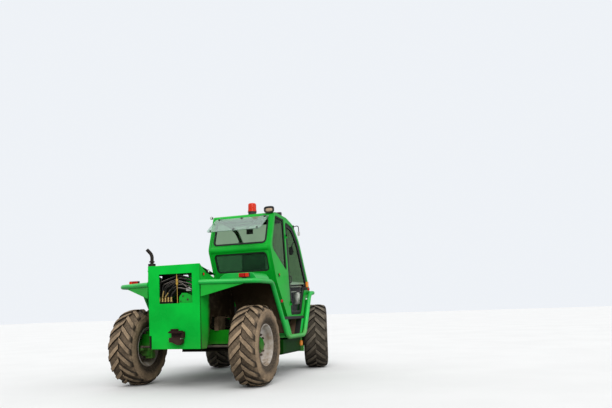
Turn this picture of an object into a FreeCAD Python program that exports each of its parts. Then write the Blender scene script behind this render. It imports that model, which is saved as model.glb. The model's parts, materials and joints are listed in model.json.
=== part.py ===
"""A compact telescopic farm handler: box frame, lowered boom, offset cab, four steered portal wheels.

Row frame, millimetres: +X forward, +Y to the machine's left, +Z up, ground at Z = 0.
The cab stands on the right of the boom and the engine on its left.
"""
import os
import math
import FreeCAD
import Part
import Sketcher

Vector = FreeCAD.Vector

# Driving dimensions in millimetres (angles in degrees): name, value, what it is.
# Heights are above the ground. Lengths that end in _x are ahead of the rear axle.
SIZES = [
    ("rear_axle_x", -1458.5, "rear axle, from the row origin"),
    ("wheelbase", 2500, "rear axle to front axle"),
    ("track", 1850, "between the tyres' middle planes"),
    ("seat_gap", 0.3, "clearance between bolted neighbours"),
    ("tyre_radius", 535, "to the tips of the lugs"),
    ("tyre_width", 400, "over the sidewalls"),
    ("lug_depth", 34, "height of the tread lugs"),
    ("lug_count", 18, "lugs on each half of a tyre"),
    ("lug_arc", 6.6, "width of a lug round the tyre, in degrees"),
    ("lug_sweep", 20.6, "how far a lug turns back from the middle to its shoulder, in degrees"),
    ("bead_radius", 262, "tyre bead and rim seat"),
    ("rim_width", 320, "over the rim flanges"),
    ("rim_lip", 16, "height of the rim flange"),
    ("rim_wall", 12, "rim barrel thickness"),
    ("disc_out", 52, "wheel disc, outboard of the tyre's middle"),
    ("disc_wall", 14, "wheel disc thickness"),
    ("hub_radius", 105, "wheel hub"),
    ("spindle_radius", 40, "stub that the wheel turns on"),
    ("run_gap", 0.08, "radial running clearance on pins"),
    ("front_steer", 18, "front wheels turned left at rest"),
    ("rear_steer", 3, "rear wheels turned left at rest"),
    ("kingpin_inset", 150, "tyre's middle plane to kingpin"),
    ("kingpin_radius", 22, "kingpin"),
    ("knuckle_half", 62, "half width of the knuckle housing"),
    ("knuckle_low", 405, "underside of the knuckle housing"),
    ("knuckle_high", 712, "top of the knuckle housing"),
    ("yoke_wall", 30, "thickness of the yoke ears"),
    ("arm_reach", 165, "kingpin to track rod pin"),
    ("arm_half", 27, "half width of the steering arm"),
    ("arm_wall", 26, "steering arm thickness"),
    ("arm_high", 505, "middle height of the steering arm"),
    ("track_rod_radius", 15, "track rod"),
    ("rod_pin_radius", 11, "track rod pin"),
    ("beam_low", 560, "underside of the axle beams"),
    ("beam_high", 745, "top of the axle beams"),
    ("beam_half", 82, "half length of the axle beam section"),
    ("diff_radius", 160, "final drive housing"),
    ("diff_y", -130, "final drive, right of the middle"),
    ("saddle_wide", 60, "axle saddle under each frame plate"),
    ("saddle_half", 100, "half length of an axle saddle"),
    ("frame_half", 400, "half width over the frame plates"),
    ("frame_wall", 16, "frame plate thickness"),
    ("frame_low", 430, "underside of the middle frame"),
    ("frame_high", 780, "top of the middle frame"),
    ("arch_half", 310, "half length of the frame arch over an axle"),
    ("arch_high", 930, "top of the frame arch over an axle"),
    ("arch_back_top", 235, "rear edge of the rear arch behind the axle, at its top"),
    ("arch_back_foot", 373, "the same at its foot"),
    ("frame_nose", 390, "frame ahead of the front axle"),
    ("tower_end_x", 440, "front edge of the rear tower"),
    ("tower_high", 1395, "tower plates at their front edge"),
    ("tail_x", -580, "rear face of the tail plate"),
    ("tail_lean", 55, "how far forward the tail plate's foot stands"),
    ("tail_wall", 18, "tail plate thickness"),
    ("tail_low", 525, "bottom of the tail plate"),
    ("tail_high", 1635, "top of the tail plate"),
    ("tail_step", 34, "how far the tail plate narrows low down"),
    ("tail_step_high", 700, "height of that step"),
    ("port_low", 1122, "service opening in the tail plate, bottom"),
    ("port_high", 1515, "service opening, top"),
    ("port_left", 225, "service opening, left edge"),
    ("port_right", -285, "service opening, right edge"),
    ("hose_window_x", -440, "front of the window that lets hoses through the boom's carrier plate"),
    ("hose_radius", 11, "hydraulic hose"),
    ("hose_depth", 512, "how far behind the axle the hoses pass the boom's tail"),
    ("valve_high", 1150, "top of the valve block under the hoses"),
    ("rail_radius", 32, "round perimeter rail"),
    ("rail_y", 1080, "perimeter rail, from the middle"),
    ("rail_high", 1388, "rail over the rear wheels"),
    ("rail_tail_x", -560, "rail where it meets the tail"),
    ("rail_corner_x", -255, "rail corner behind the rear wheels"),
    ("rail_drop_x", 258, "rail where it turns down ahead of the rear wheel"),
    ("rail_foot_x", 815, "rail where it turns along the sill"),
    ("rail_low", 595, "rail along the sill"),
    ("rail_rise_x", 1530, "rail where it rises to the front wheels"),
    ("rail_front_x", 1830, "rail where it turns over the front wheels"),
    ("rail_front_high", 1245, "rail over the front wheels"),
    ("rail_end_x", 2078, "rail where it turns inboard ahead of the cab"),
    ("rail_end_high", 1262, "height of that end"),
    ("rail_bend", 150, "bend radius of the rail"),
    ("web_wall", 8, "gusset under the rear rail"),
    ("web_drop", 190, "gusset depth at the tail"),
    ("guard_wall", 6, "mudguard sheet"),
    ("guard_end_x", 1946, "front edge of the front mudguards"),
    ("guard_in", 620, "inner edge of the front mudguards, from the middle"),
    ("step_wall", 26, "cab step tread"),
    ("rear_cheek", 235, "rear cheek of the cab step"),
    ("front_cheek", 90, "front cheek of the cab step"),
    ("well_out", 1000, "outer face of the box below the step, right of the middle"),
    ("well_high", 560, "top of that box"),
    ("well_front_x", 1560, "front of that box"),
    ("tank_low", 340, "underside of the side tank"),
    ("tank_high", 830, "top of the side tank"),
    ("tank_y", -860, "outer face of the side tank"),
    ("tank_round", 45, "rounding of its outer edges"),
    ("tank_rear_x", 820, "rear of the side tank"),
    ("tank_front_x", 1700, "front of the side tank"),
    ("cab_left", 0, "left side of the cab"),
    ("cab_right", -1020, "right side of the cab"),
    ("cab_wall", 44, "cab frame section"),
    ("cab_floor", 862, "underside of the cab floor"),
    ("cab_floor_wall", 40, "cab floor thickness"),
    ("cab_top", 2440, "top of the cab frame"),
    ("cab_roof_rear_x", 545, "roof's rear edge"),
    ("cab_roof_front_x", 1010, "roof's front edge"),
    ("roof_front_share", 0.978, "height of that edge, as a share of floor to top"),
    ("cab_belt_x", 375, "rear face at the cross bar"),
    ("belt_share", 0.658, "rear cross bar, share of floor to top"),
    ("cab_waist_x", 590, "rear face at its bottom"),
    ("waist_share", 0.347, "bottom of the rear face, share of floor to top"),
    ("cab_heel_x", 1000, "rear edge of the floor"),
    ("cab_toe_x", 1640, "front edge of the floor"),
    ("cab_knee_x", 1800, "where the cab's underside clears the front mudguard"),
    ("knee_share", 0.19, "height of that corner, share of floor to top"),
    ("cab_brow_x", 1300, "upper bend of the front pillar"),
    ("brow_share", 0.927, "height of that bend, share of floor to top"),
    ("cab_bulge_x", 1560, "lower bend of the front pillar"),
    ("bulge_share", 0.772, "height of that bend, share of floor to top"),
    ("cab_chin_x", 1990, "foot of the front pillar"),
    ("chin_share", 0.297, "height of that foot, share of floor to top"),
    ("cab_lip_x", 2010, "lower front corner of the cab"),
    ("lip_share", 0.208, "height of that corner, share of floor to top"),
    ("heel_round", 40, "rounding of the cab outline at the heel"),
    ("waist_round", 280, "rounding at the waist"),
    ("belt_round", 110, "rounding at the cross bar"),
    ("roof_round", 60, "rounding at the roof's rear edge"),
    ("crown_round", 260, "rounding at the roof's front edge"),
    ("brow_round", 350, "rounding at the upper bend of the pillar"),
    ("bulge_round", 850, "rounding at the lower bend of the pillar"),
    ("chin_round", 150, "rounding at the foot of the pillar"),
    ("lip_round", 35, "rounding of the lower front corner"),
    ("window_round", 60, "rounding of the rear windows"),
    ("glass_wall", 8, "cab glass"),
    ("post_x", 1115, "middle of the door post at the sill"),
    ("post_lean", 7.1, "how far the door post leans back"),
    ("post_half", 24, "half width of the door post"),
    ("bar_radius", 54, "rear cross bar"),
    ("bar_half", 65, "rear cross bar, half height between the windows"),
    ("rear_edge", 34, "rear frame left beside its windows"),
    ("rim_cab", 50, "frame left round the cab windows"),
    ("rear_sill_share", 0.442, "bottom of the lower rear window, share of floor to top"),
    ("rear_head", 95, "top of the upper rear window, below the cab's top"),
    ("door_gap", 8, "gap round the door"),
    ("door_wall", 28, "door thickness"),
    ("door_stile", 34, "door frame width"),
    ("hinge_radius", 10, "door hinge barrel"),
    ("hinge_pin_radius", 5, "door hinge pin"),
    ("hinge_tall", 58, "door hinge height"),
    ("hinge_low", 1060, "underside of the lower door hinge"),
    ("hinge_high", 2080, "underside of the upper door hinge"),
    ("vent_angle", 55, "how far the upper rear window is open"),
    ("vent_drop", 400, "height of the upper rear window glass"),
    ("hood_rear_x", 500, "rear of the engine hood"),
    ("hood_front_x", 1780, "front of the engine hood"),
    ("hood_low", 1120, "bottom edge of the hood"),
    ("hood_high", 1500, "top of the hood"),
    ("hood_wall", 8, "hood sheet"),
    ("hood_round", 90, "rounding of its outer shoulder"),
    ("tub_rear_x", 795, "rear of the engine tub"),
    ("tub_low", 450, "underside of the engine tub"),
    ("tub_wall", 10, "engine tub sheet"),
    ("engine_long", 860, "engine block length"),
    ("engine_wide", 470, "engine block width"),
    ("engine_tall", 600, "engine block height"),
    ("boom_y", 165, "middle of the boom, left of the middle"),
    ("pivot_x", -300, "boom pivot"),
    ("pivot_high", 1360, "height of the boom pivot"),
    ("boom_angle", 6, "boom's slope down to the front at rest"),
    ("boom_wide", 250, "outer boom width"),
    ("boom_tall", 300, "outer boom height"),
    ("boom_wall", 9, "boom plate"),
    ("boom_tail", 110, "outer boom behind its pivot"),
    ("boom_long", 2980, "outer boom ahead of its pivot"),
    ("slide_gap", 8, "gap between the boom sections"),
    ("boom_pin_radius", 45, "boom pivot pin"),
    ("nose_reach", 690, "carriage pivot ahead of the outer boom"),
    ("nose_drop", 560, "carriage pivot below the boom's middle"),
    ("carriage_pin_radius", 30, "carriage pivot pin"),
    ("carriage_wide", 1040, "carriage width"),
    ("carriage_tall", 520, "carriage height"),
    ("carriage_wall", 40, "carriage plate thickness"),
    ("carriage_back", 110, "carriage plate ahead of its pivot"),
    ("carriage_low", 205, "underside of the carriage"),
    ("ram_foot_x", -380, "lift cylinder's lower pin"),
    ("ram_foot_high", 860, "height of that pin"),
    ("ram_head", 500, "lift cylinder's upper pin, along the boom from its pivot"),
    ("ram_under", 225, "that pin, below the boom's middle"),
    ("ram_radius", 58, "lift cylinder barrel"),
    ("ram_rod_radius", 34, "lift cylinder rod"),
    ("ram_eye", 48, "lift cylinder eye radius"),
    ("ram_pin_radius", 22, "lift cylinder pins"),
    ("stack_x", -250, "exhaust stack"),
    ("stack_y", 560, "exhaust stack, from the middle"),
    ("stack_radius", 52, "exhaust silencer"),
    ("stack_high", 1700, "top of the silencer"),
    ("pipe_radius", 24, "exhaust tail pipe"),
    ("pipe_rise", 215, "tail pipe above the silencer"),
    ("lamp_high", 1470, "middle of the tail lamps"),
    ("lamp_left_y", 800, "inner end of the left tail lamp"),
    ("lamp_right_y", -961, "outer end of the right tail lamp"),
    ("cover_tall", 110, "cover on the right mudguard, above it"),
    ("cover_out", 1030, "outer edge of that cover, right of the middle"),
    ("cover_in", 430, "inner edge of that cover, right of the middle"),
    ("cover_rear_x", -120, "rear end of that cover"),
    ("cover_front_x", 330, "front end of that cover"),
    ("beacon_radius", 70, "beacon lens"),
    ("beacon_tall", 132, "height of the beacon lens"),
    ("hitch_high", 706, "drawbar jaw height"),
    ("hitch_y", -52, "drawbar jaw, right of the middle"),
    ("hitch_reach", 75, "drawbar jaw behind the tail plate"),
    ("hitch_wide", 170, "drawbar jaw width"),
    ("hitch_bore_radius", 16, "bore for the drawbar pin"),
    ("lock_bore_radius", 20, "attachment lock bores"),
    ("lock_spread", 660, "between the attachment lock bores"),
    ("lock_wall", 24, "lock lug thickness"),
]


class Rule:
    """A length that knows its value now and the sheet formula that gives it."""

    def __init__(self, value, text):
        self.value = value
        self.text = text

    def _join(self, other, sign, value):
        return Rule(value, "(%s %s %s)" % (self.text, sign, rule(other).text))

    def __add__(self, other):
        return self._join(other, "+", self.value + rule(other).value)

    def __sub__(self, other):
        return self._join(other, "-", self.value - rule(other).value)

    def __mul__(self, other):
        return self._join(other, "*", self.value * rule(other).value)

    def __truediv__(self, other):
        return self._join(other, "/", self.value / rule(other).value)

    def __radd__(self, other):
        return rule(other) + self

    def __rsub__(self, other):
        return rule(other) - self

    def __rmul__(self, other):
        return rule(other) * self

    def __neg__(self):
        return Rule(-self.value, "(0 - %s)" % self.text)


def rule(thing):
    """A plain number as a Rule; a Rule stays itself."""
    return thing if isinstance(thing, Rule) else Rule(thing, "%r" % thing)


def sine(angle):
    angle = rule(angle)
    return Rule(math.sin(math.radians(angle.value)), "sin(%s)" % angle.text)


def cosine(angle):
    angle = rule(angle)
    return Rule(math.cos(math.radians(angle.value)), "cos(%s)" % angle.text)


doc = FreeCAD.newDocument("handler")
sheet = doc.addObject("Spreadsheet::Sheet", "Sizes")


class Sheet:
    """The driving dimensions, each as a Rule under its own name."""


d = Sheet()
for row, (alias, value, note) in enumerate(SIZES, start=1):
    sheet.set("A%d" % row, note)
    sheet.set("B%d" % row, str(value))
    sheet.setAlias("B%d" % row, alias)
    setattr(d, alias, Rule(float(value), "Sizes.%s" % alias))
doc.recompute()

NODES = []
counter = iter(range(1, 100000))


def fresh(kind, word):
    return doc.addObject(kind, "%s_%d" % (word, next(counter)))


def bind(thing, field, amount):
    """Sets a property from the sheet: by formula where it has one, else as a number."""
    amount = rule(amount)
    thing.setExpression(field, amount.text)


def place(thing, x=0, y=0, z=0, angle=None, axis=Vector(0, 0, 1)):
    """Puts an object at a place, turned by an angle about an axis, all bound to the sheet."""
    if angle is not None:
        thing.Placement = FreeCAD.Placement(Vector(), FreeCAD.Rotation(axis, rule(angle).value))
        bind(thing, "Placement.Rotation.Angle", angle)
    for letter, amount in zip("xyz", (x, y, z)):
        bind(thing, "Placement.Base.%s" % letter, amount)
    return thing


def block(xs, ys, zs):
    """A box between pairs of planes."""
    box = fresh("Part::Box", "block")
    for field, (low, high) in zip(("Length", "Width", "Height"), (xs, ys, zs)):
        bind(box, field, rule(high) - low)
    return place(box, xs[0], ys[0], zs[0])


def rod(radius, start, length, along="z"):
    """A round bar from a start point along one axis."""
    bar = fresh("Part::Cylinder", "rod")
    bind(bar, "Radius", radius)
    bind(bar, "Height", length)
    turns = {"x": (90, Vector(0, 1, 0)), "y": (-90, Vector(1, 0, 0)), "z": (0, Vector(0, 0, 1))}
    angle, axis = turns[along]
    return place(bar, *start, angle=angle, axis=axis)


def ball(radius, centre):
    globe = fresh("Part::Sphere", "ball")
    bind(globe, "Radius", radius)
    return place(globe, *centre)


def fuse(*pieces):
    joined = fresh("Part::MultiFuse", "fuse")
    joined.Shapes = list(pieces)
    joined.Refine = True
    return joined


def cut(base, *tools):
    """The base without the tools."""
    less = fresh("Part::Cut", "cut")
    less.Base = base
    less.Tool = tools[0] if len(tools) == 1 else fuse(*tools)
    less.Refine = True
    return less


def common(*pieces):
    """What the pieces share."""
    shared = fresh("Part::MultiCommon", "common")
    shared.Shapes = list(pieces)
    shared.Refine = True
    return shared


def group(*pieces):
    """Solids that don't touch, kept as one node."""
    several = fresh("Part::Compound", "group")
    several.Links = list(pieces)
    return several


def mirrored(piece):
    """The same piece on the other side of the middle plane."""
    other = fresh("Part::Mirroring", "mirror")
    other.Source = piece
    other.Normal = Vector(0, 1, 0)
    return other


def node(label, piece):
    piece.Label = label
    NODES.append(piece)
    return piece


PLANES = {"side": "XZ_Plane", "end": "YZ_Plane", "plan": "XY_Plane"}


def trace(sketch, corners):
    """One closed outline of straight lines through bound corners."""
    count = len(corners)
    first = sketch.GeometryCount
    for k in range(count):
        a, b = corners[k], corners[(k + 1) % count]
        sketch.addGeometry(
            Part.LineSegment(
                Vector(rule(a[0]).value, rule(a[1]).value, 0),
                Vector(rule(b[0]).value, rule(b[1]).value, 0),
            )
        )
    for k in range(count):
        sketch.addConstraint(
            Sketcher.Constraint("Coincident", first + k, 2, first + (k + 1) % count, 1)
        )
        for kind, amount in zip(("DistanceX", "DistanceY"), corners[k]):
            amount = rule(amount)
            number = sketch.addConstraint(
                Sketcher.Constraint(kind, -1, 1, first + k, 1, amount.value)
            )
            sketch.setExpression("Constraints[%d]" % number, amount.text)


def soften(body, plane, outline, rounds):
    """Rounds the pad's straight-through edges at some corners, given as {corner number: radius}."""
    first, second = {"side": ("x", "z"), "end": ("y", "z"), "plan": ("x", "y")}[plane]
    for number, radius in rounds.items():
        doc.recompute()
        corner = [rule(amount).value for amount in outline[number]]
        names, tip = [], body.Tip
        for count, edge in enumerate(tip.Shape.Edges, start=1):
            if all(
                math.hypot(getattr(v, first.upper()) - corner[0], getattr(v, second.upper()) - corner[1]) < 0.01
                for v in edge.Vertexes
            ):
                names.append("Edge%d" % count)
        rounding = body.newObject("PartDesign::Fillet", "rounding")
        rounding.Base = (tip, names)
        bind(rounding, "Radius", radius)


def inset(outline, wall):
    """The corners of an outline moved inwards so that every side moves by one distance."""
    flat = [(rule(a).value, rule(b).value) for a, b in outline]
    count = len(flat)
    area = sum(flat[k - 1][0] * flat[k][1] - flat[k][0] * flat[k - 1][1] for k in range(count))
    hand = 1 if area > 0 else -1
    moved = []
    for k in range(count):
        normals = []
        for a, b in ((flat[k - 1], flat[k]), (flat[k], flat[(k + 1) % count])):
            run = math.hypot(b[0] - a[0], b[1] - a[1])
            normals.append(((a[1] - b[1]) / run * hand, (b[0] - a[0]) / run * hand))
        (ax, ay), (bx, by) = normals
        share = 1 + ax * bx + ay * by
        moved.append((
            outline[k][0] + rule(wall) * ((ax + bx) / share),
            outline[k][1] + rule(wall) * ((ay + by) / share),
        ))
    return moved


def plate(plane, low, high, outline, holes=(), rounds=None, hole_rounds=()):
    """A body padded from one flat outline with holes, between two planes.

    A side outline is (x, z) and lies between two y; an end outline is (y, z) between two x;
    a plan outline is (x, y) between two z. Rounds are {corner number: radius}.
    """
    body = fresh("PartDesign::Body", "plate")
    support = [f for f in body.Origin.OriginFeatures if f.Role == PLANES[plane]][0]
    sketch = body.newObject("Sketcher::SketchObject", "outline")
    sketch.AttachmentSupport = [(support, "")]
    sketch.MapMode = "FlatFace"
    start = -rule(high) if plane == "side" else rule(low)
    sketch.setExpression("AttachmentOffset.Base.z", start.text)
    for corners in (outline,) + tuple(holes):
        trace(sketch, corners)
    pad = body.newObject("PartDesign::Pad", "pad")
    pad.Profile = sketch
    pad.Length = rule(high).value - rule(low).value
    pad.setExpression("Length", (rule(high) - low).text)
    soften(body, plane, outline, rounds or {})
    for corners, corner_rounds in zip(holes, hole_rounds):
        soften(body, plane, corners, corner_rounds)
    return body


def spun(outline):
    """A body turned about the Y axis from a half section given as (radius, y)."""
    body = fresh("PartDesign::Body", "spun")
    support = [f for f in body.Origin.OriginFeatures if f.Role == "XY_Plane"][0]
    sketch = body.newObject("Sketcher::SketchObject", "section")
    sketch.AttachmentSupport = [(support, "")]
    sketch.MapMode = "FlatFace"
    trace(sketch, outline)
    turn = body.newObject("PartDesign::Revolution", "turn")
    turn.Profile = sketch
    turn.ReferenceAxis = (sketch, ["V_Axis"])
    turn.Angle = 360
    return body


def rounded_wire(points, bend):
    """Straight runs joined by tangent arcs."""
    edges, last = [], points[0]
    for before, corner, after in zip(points, points[1:], points[2:]):
        into, away = (corner - before).normalize(), (after - corner).normalize()
        turn = into.getAngle(away)
        back = min(
            bend * math.tan(turn / 2),
            0.45 * (corner - before).Length,
            0.45 * (after - corner).Length,
        )
        radius = back / math.tan(turn / 2)
        start, end = corner - into * back, corner + away * back
        inward = (away - into).normalize()
        middle = corner + inward * (radius / math.cos(turn / 2) - radius)
        edges.append(Part.LineSegment(last, start).toShape())
        edges.append(Part.Arc(start, middle, end).toShape())
        last = end
    edges.append(Part.LineSegment(last, points[-1]).toShape())
    return Part.Wire(edges)


def tube(points, radius, bend):
    """A round bar along a bent route."""
    spine = rounded_wire(points, bend)
    ring = Part.Wire(Part.makeCircle(radius, points[0], points[1] - points[0]))
    return spine.makePipeShell([ring], True, False)


def shape_node(shape):
    """A document object round a shape that Part's own functions made."""
    feature = fresh("Part::Feature", "shape")
    feature.Shape = shape
    return feature


def aft(distance):
    """A place so far ahead of the rear axle, in the row frame."""
    return d.rear_axle_x + distance


front_axle = d.rear_axle_x + d.wheelbase
rear_axle = d.rear_axle_x
kingpin_y = d.track / 2 - d.kingpin_inset

# Tyre: flat facets, a carcass with a row of swept lugs on each half.
half_tread = d.tyre_width.value / 2
tread_table = [
    # from the middle, carcass below the lugs' reach, lug below it
    (0, d.lug_depth.value, 0),
    (half_tread - 110, d.lug_depth.value, 0),
    (half_tread - 44, d.lug_depth.value + 6, 12),
    (half_tread - 12, d.lug_depth.value + 38, 42),
]
wall_table = [
    # from the middle, below the lugs' reach
    (half_tread, 115),
    (half_tread - 4, 190),
]


class Facets:
    """Gathers the corners and three-sided facets of a closed solid."""

    def __init__(self):
        self.corners = []
        self.known = {}
        self.faces = []

    def corner(self, degrees, radius, y):
        """A corner at an angle round the wheel's axle, up from straight back."""
        turn = math.radians(degrees)
        spot = (round(-math.cos(turn) * radius, 4), round(y, 4), round(math.sin(turn) * radius, 4))
        if spot not in self.known:
            self.known[spot] = len(self.corners)
            self.corners.append(spot)
        return self.known[spot]

    def fan(self, first, *others):
        """Facets from one corner to each run between the others."""
        for a, b in zip(others, others[1:]):
            self.faces.append((first, a, b))

    def solid(self):
        skin = Part.Shape()
        skin.makeShapeFromMesh((self.corners, self.faces), 0.01)
        body = Part.makeSolid(skin.removeSplitter())
        if body.Volume < 0:
            body.reverse()
        return body


def lugged_tyre():
    """The tyre about its own middle: its axle along Y, its lugs' middles highest at the rear."""
    made = Facets()
    reach = d.tyre_radius.value
    count = int(d.lug_count.value)
    pitch, arc = 360 / count, d.lug_arc.value
    bead = (d.bead_radius + d.seat_gap).value / math.cos(math.radians(pitch / 2))
    bead_y = d.rim_width.value / 2 - 25
    for side in (1, -1):
        start = 0 if side > 0 else pitch / 2

        def at(angle, station, deep):
            y, carcass, tip = tread_table[station]
            back = d.lug_sweep.value * y / tread_table[-1][0]
            return made.corner(start + angle - back, reach - (carcass if deep else tip), y * side)

        def wall_at(angle, row):
            y, below = wall_table[row]
            return made.corner(start + angle - d.lug_sweep.value, reach - below, y * side)

        for k in range(count):
            lead, trail, after = k * pitch, k * pitch + arc, (k + 1) * pitch
            facing = lead + pitch / 2
            middle = [at(trail, 0, True), at(facing, 0, True), at(facing + arc, 0, True)]
            made.fan(at(trail, 1, True), *middle, at(after, 1, True))
            made.fan(at(after, 1, True), middle[-1], at(after, 0, True))
            for row in (1, 2):
                made.fan(at(trail, row, True), at(after, row, True), at(after, row + 1, True),
                         at(trail, row + 1, True))
            for row in (0, 1, 2):
                made.fan(at(lead, row, False), at(trail, row, False), at(trail, row + 1, False),
                         at(lead, row + 1, False))
                for edge in (lead, trail):
                    made.fan(at(edge, row, True), at(edge, row, False), at(edge, row + 1, False),
                             at(edge, row + 1, True))
            for row in (0, 3):
                made.fan(at(lead, row, True), at(trail, row, True), at(trail, row, False), at(lead, row, False))
            for a, b in ((lead, trail), (trail, after)):
                made.fan(at(a, 3, True), at(b, 3, True), wall_at(b, 0), wall_at(a, 0))
            made.fan(wall_at(trail, 0), wall_at(lead, 0), wall_at(lead, 1), wall_at(after, 1), wall_at(after, 0))
            low, high = start + lead - d.lug_sweep.value, start + after - d.lug_sweep.value
            made.fan(wall_at(lead, 1), wall_at(after, 1), made.corner(high, bead, bead_y * side),
                     made.corner(low, bead, bead_y * side))
    return made


def bead_bore(made):
    """Closes the tyre's bore between its two beads, whose corners are half a pitch apart."""
    count = int(d.lug_count.value)
    pitch = 360 / count
    bead = (d.bead_radius + d.seat_gap).value / math.cos(math.radians(pitch / 2))
    bead_y = d.rim_width.value / 2 - 25
    back = d.lug_sweep.value
    for k in range(count):
        left = [made.corner(k * pitch + step - back, bead, bead_y) for step in (0, pitch)]
        right = [made.corner((k + 0.5) * pitch + step - back, bead, -bead_y) for step in (-pitch, 0)]
        made.fan(left[0], left[1], right[1])
        made.fan(left[0], right[0], right[1])
    return made.solid()


carcass = shape_node(bead_bore(lugged_tyre()))

# Wheel: barrel, flanges, disc and hub in one turned section, outboard side at +y.
rim_half = d.rim_width / 2
barrel = d.bead_radius - d.rim_wall
hub_bore = d.spindle_radius + d.run_gap
hub_back = d.knuckle_half - d.kingpin_inset + 8
rim = spun([
    (d.bead_radius + d.rim_lip, rim_half),
    (d.bead_radius + d.rim_lip, rim_half - 10),
    (d.bead_radius, rim_half - 24),
    (d.bead_radius, 24 - rim_half),
    (d.bead_radius + d.rim_lip, 10 - rim_half),
    (d.bead_radius + d.rim_lip, -rim_half),
    (barrel, -rim_half),
    (barrel, d.disc_out - d.disc_wall),
    (d.hub_radius, d.disc_out - d.disc_wall),
    (d.hub_radius, hub_back),
    (hub_bore, hub_back),
    (hub_bore, d.disc_out + 28),
    (0, d.disc_out + 28),
    (0, d.disc_out + 52),
    (d.hub_radius - 30, d.disc_out + 52),
    (d.hub_radius - 10, d.disc_out),
    (barrel, d.disc_out),
    (barrel, rim_half),
])

# Knuckle: portal housing with a wheel spindle and a steering arm, about its kingpin, left side.
low, high = d.knuckle_low, d.knuckle_high
housing = fuse(
    rod(d.knuckle_half, (0, 0, low), high - low),
    block((-d.knuckle_half, d.knuckle_half), (0, d.knuckle_half + 6), (low, high)),
)
spindle_end = d.kingpin_inset + d.disc_out + 20
spindle = rod(d.spindle_radius, (0, 0, d.tyre_radius), spindle_end, "y")
arm = block(
    (-d.arm_reach, 0), (-d.arm_half, d.arm_half),
    (d.arm_high - d.arm_wall / 2, d.arm_high + d.arm_wall / 2),
)
arm_end = rod(d.arm_half, (-d.arm_reach, 0, d.arm_high - d.arm_wall / 2), d.arm_wall)
arm_hole = rod(
    d.rod_pin_radius + d.run_gap, (-d.arm_reach, 0, d.arm_high - d.arm_wall), d.arm_wall * 2,
)
pin_hole = rod(d.kingpin_radius + d.run_gap, (0, 0, low - 10), high - low + 20)
knuckle = cut(fuse(housing, spindle, arm, arm_end), arm_hole, pin_hole)

# Track rod: joins the two steering arms, lies above them, with a pin down into each.
rod_high = d.arm_high + d.arm_wall / 2 + d.seat_gap + d.track_rod_radius + 3
rod_pieces = [rod(d.track_rod_radius, (0, -kingpin_y, rod_high), kingpin_y * 2, "y")]
for side in (-1, 1):
    rod_pieces.append(rod(d.arm_half - 6, (0, kingpin_y * side, rod_high - d.track_rod_radius - 3),
                          d.track_rod_radius * 2 + 6))
    rod_pieces.append(rod(d.rod_pin_radius, (0, kingpin_y * side, d.arm_high - d.arm_wall / 2),
                          rod_high - d.arm_high + 10))
track_rod = fuse(*rod_pieces)

# Axle: beam with final drive, a yoke and two kingpin stubs at each end, and saddles under the frame.
yoke_in = kingpin_y - d.knuckle_half - 8
axle_pieces = [
    block((-d.beam_half, d.beam_half), (-yoke_in, yoke_in), (d.beam_low, d.beam_high)),
    ball(d.diff_radius, (0, d.diff_y, (d.beam_low + d.beam_high) / 2)),
]
pin_run = 60
ear_half = d.kingpin_radius + 16
for side in (-1, 1):
    inner = (yoke_in - 26) * side if side > 0 else -yoke_in
    web_ys = (yoke_in - 26, yoke_in) if side > 0 else (-yoke_in, 26 - yoke_in)
    axle_pieces.append(block((-ear_half, ear_half), web_ys, (low - 6 - d.yoke_wall, high + 6 + d.yoke_wall)))
    ear_ys = (yoke_in - 26, kingpin_y) if side > 0 else (-kingpin_y, 26 - yoke_in)
    saddle_mid = (d.frame_half - d.frame_wall / 2) * side
    axle_pieces.append(block(
        (-d.saddle_half, d.saddle_half),
        (saddle_mid - d.saddle_wide / 2, saddle_mid + d.saddle_wide / 2),
        (d.beam_high - 5, d.arch_high - d.seat_gap),
    ))
    for ear_low, pin_low in ((low - 6 - d.yoke_wall, low - 6 - d.yoke_wall), (high + 6, high - pin_run)):
        axle_pieces.append(block((-ear_half, ear_half), ear_ys, (ear_low, ear_low + d.yoke_wall)))
        axle_pieces.append(rod(ear_half, (0, kingpin_y * side, ear_low), d.yoke_wall))
        axle_pieces.append(rod(d.kingpin_radius, (0, kingpin_y * side, pin_low), pin_run + 6 + d.yoke_wall))
axle = fuse(*axle_pieces)

ENDS = (("rear", rear_axle, d.rear_steer), ("front", front_axle, d.front_steer))
SIDES = (("left", 1), ("right", -1))


def steered(piece, axle_x, steer, side, out=0, turn=0):
    """Places a piece of a wheel end: out is its distance outboard of the kingpin, turn flips it."""
    reach = rule(out) * side
    return place(
        group(piece),
        axle_x - reach * sine(steer),
        kingpin_y * side + reach * cosine(steer),
        0, angle=rule(steer) + turn,
    )


def lifted(piece, height):
    return place(group(piece), 0, 0, height)


knuckles = {1: knuckle, -1: mirrored(knuckle)}
tyre_up = lifted(carcass, d.tyre_radius)
rims = {1: lifted(rim, d.tyre_radius), -1: lifted(mirrored(rim), d.tyre_radius)}
for end, axle_x, steer in ENDS:
    node(end + "_axle", place(group(axle), axle_x))
    node(end + "_track_rod", place(
        group(track_rod),
        axle_x - d.arm_reach * cosine(steer), -(d.arm_reach * sine(steer)), 0,
    ))
    for hand, side in SIDES:
        name = "%s_%s" % (end, hand)
        node(name + "_knuckle", steered(knuckles[side], axle_x, steer, side))
        node(name + "_rim", steered(rims[side], axle_x, steer, side, d.kingpin_inset))
        node(name + "_tyre", steered(tyre_up, axle_x, steer, side, d.kingpin_inset))

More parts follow.
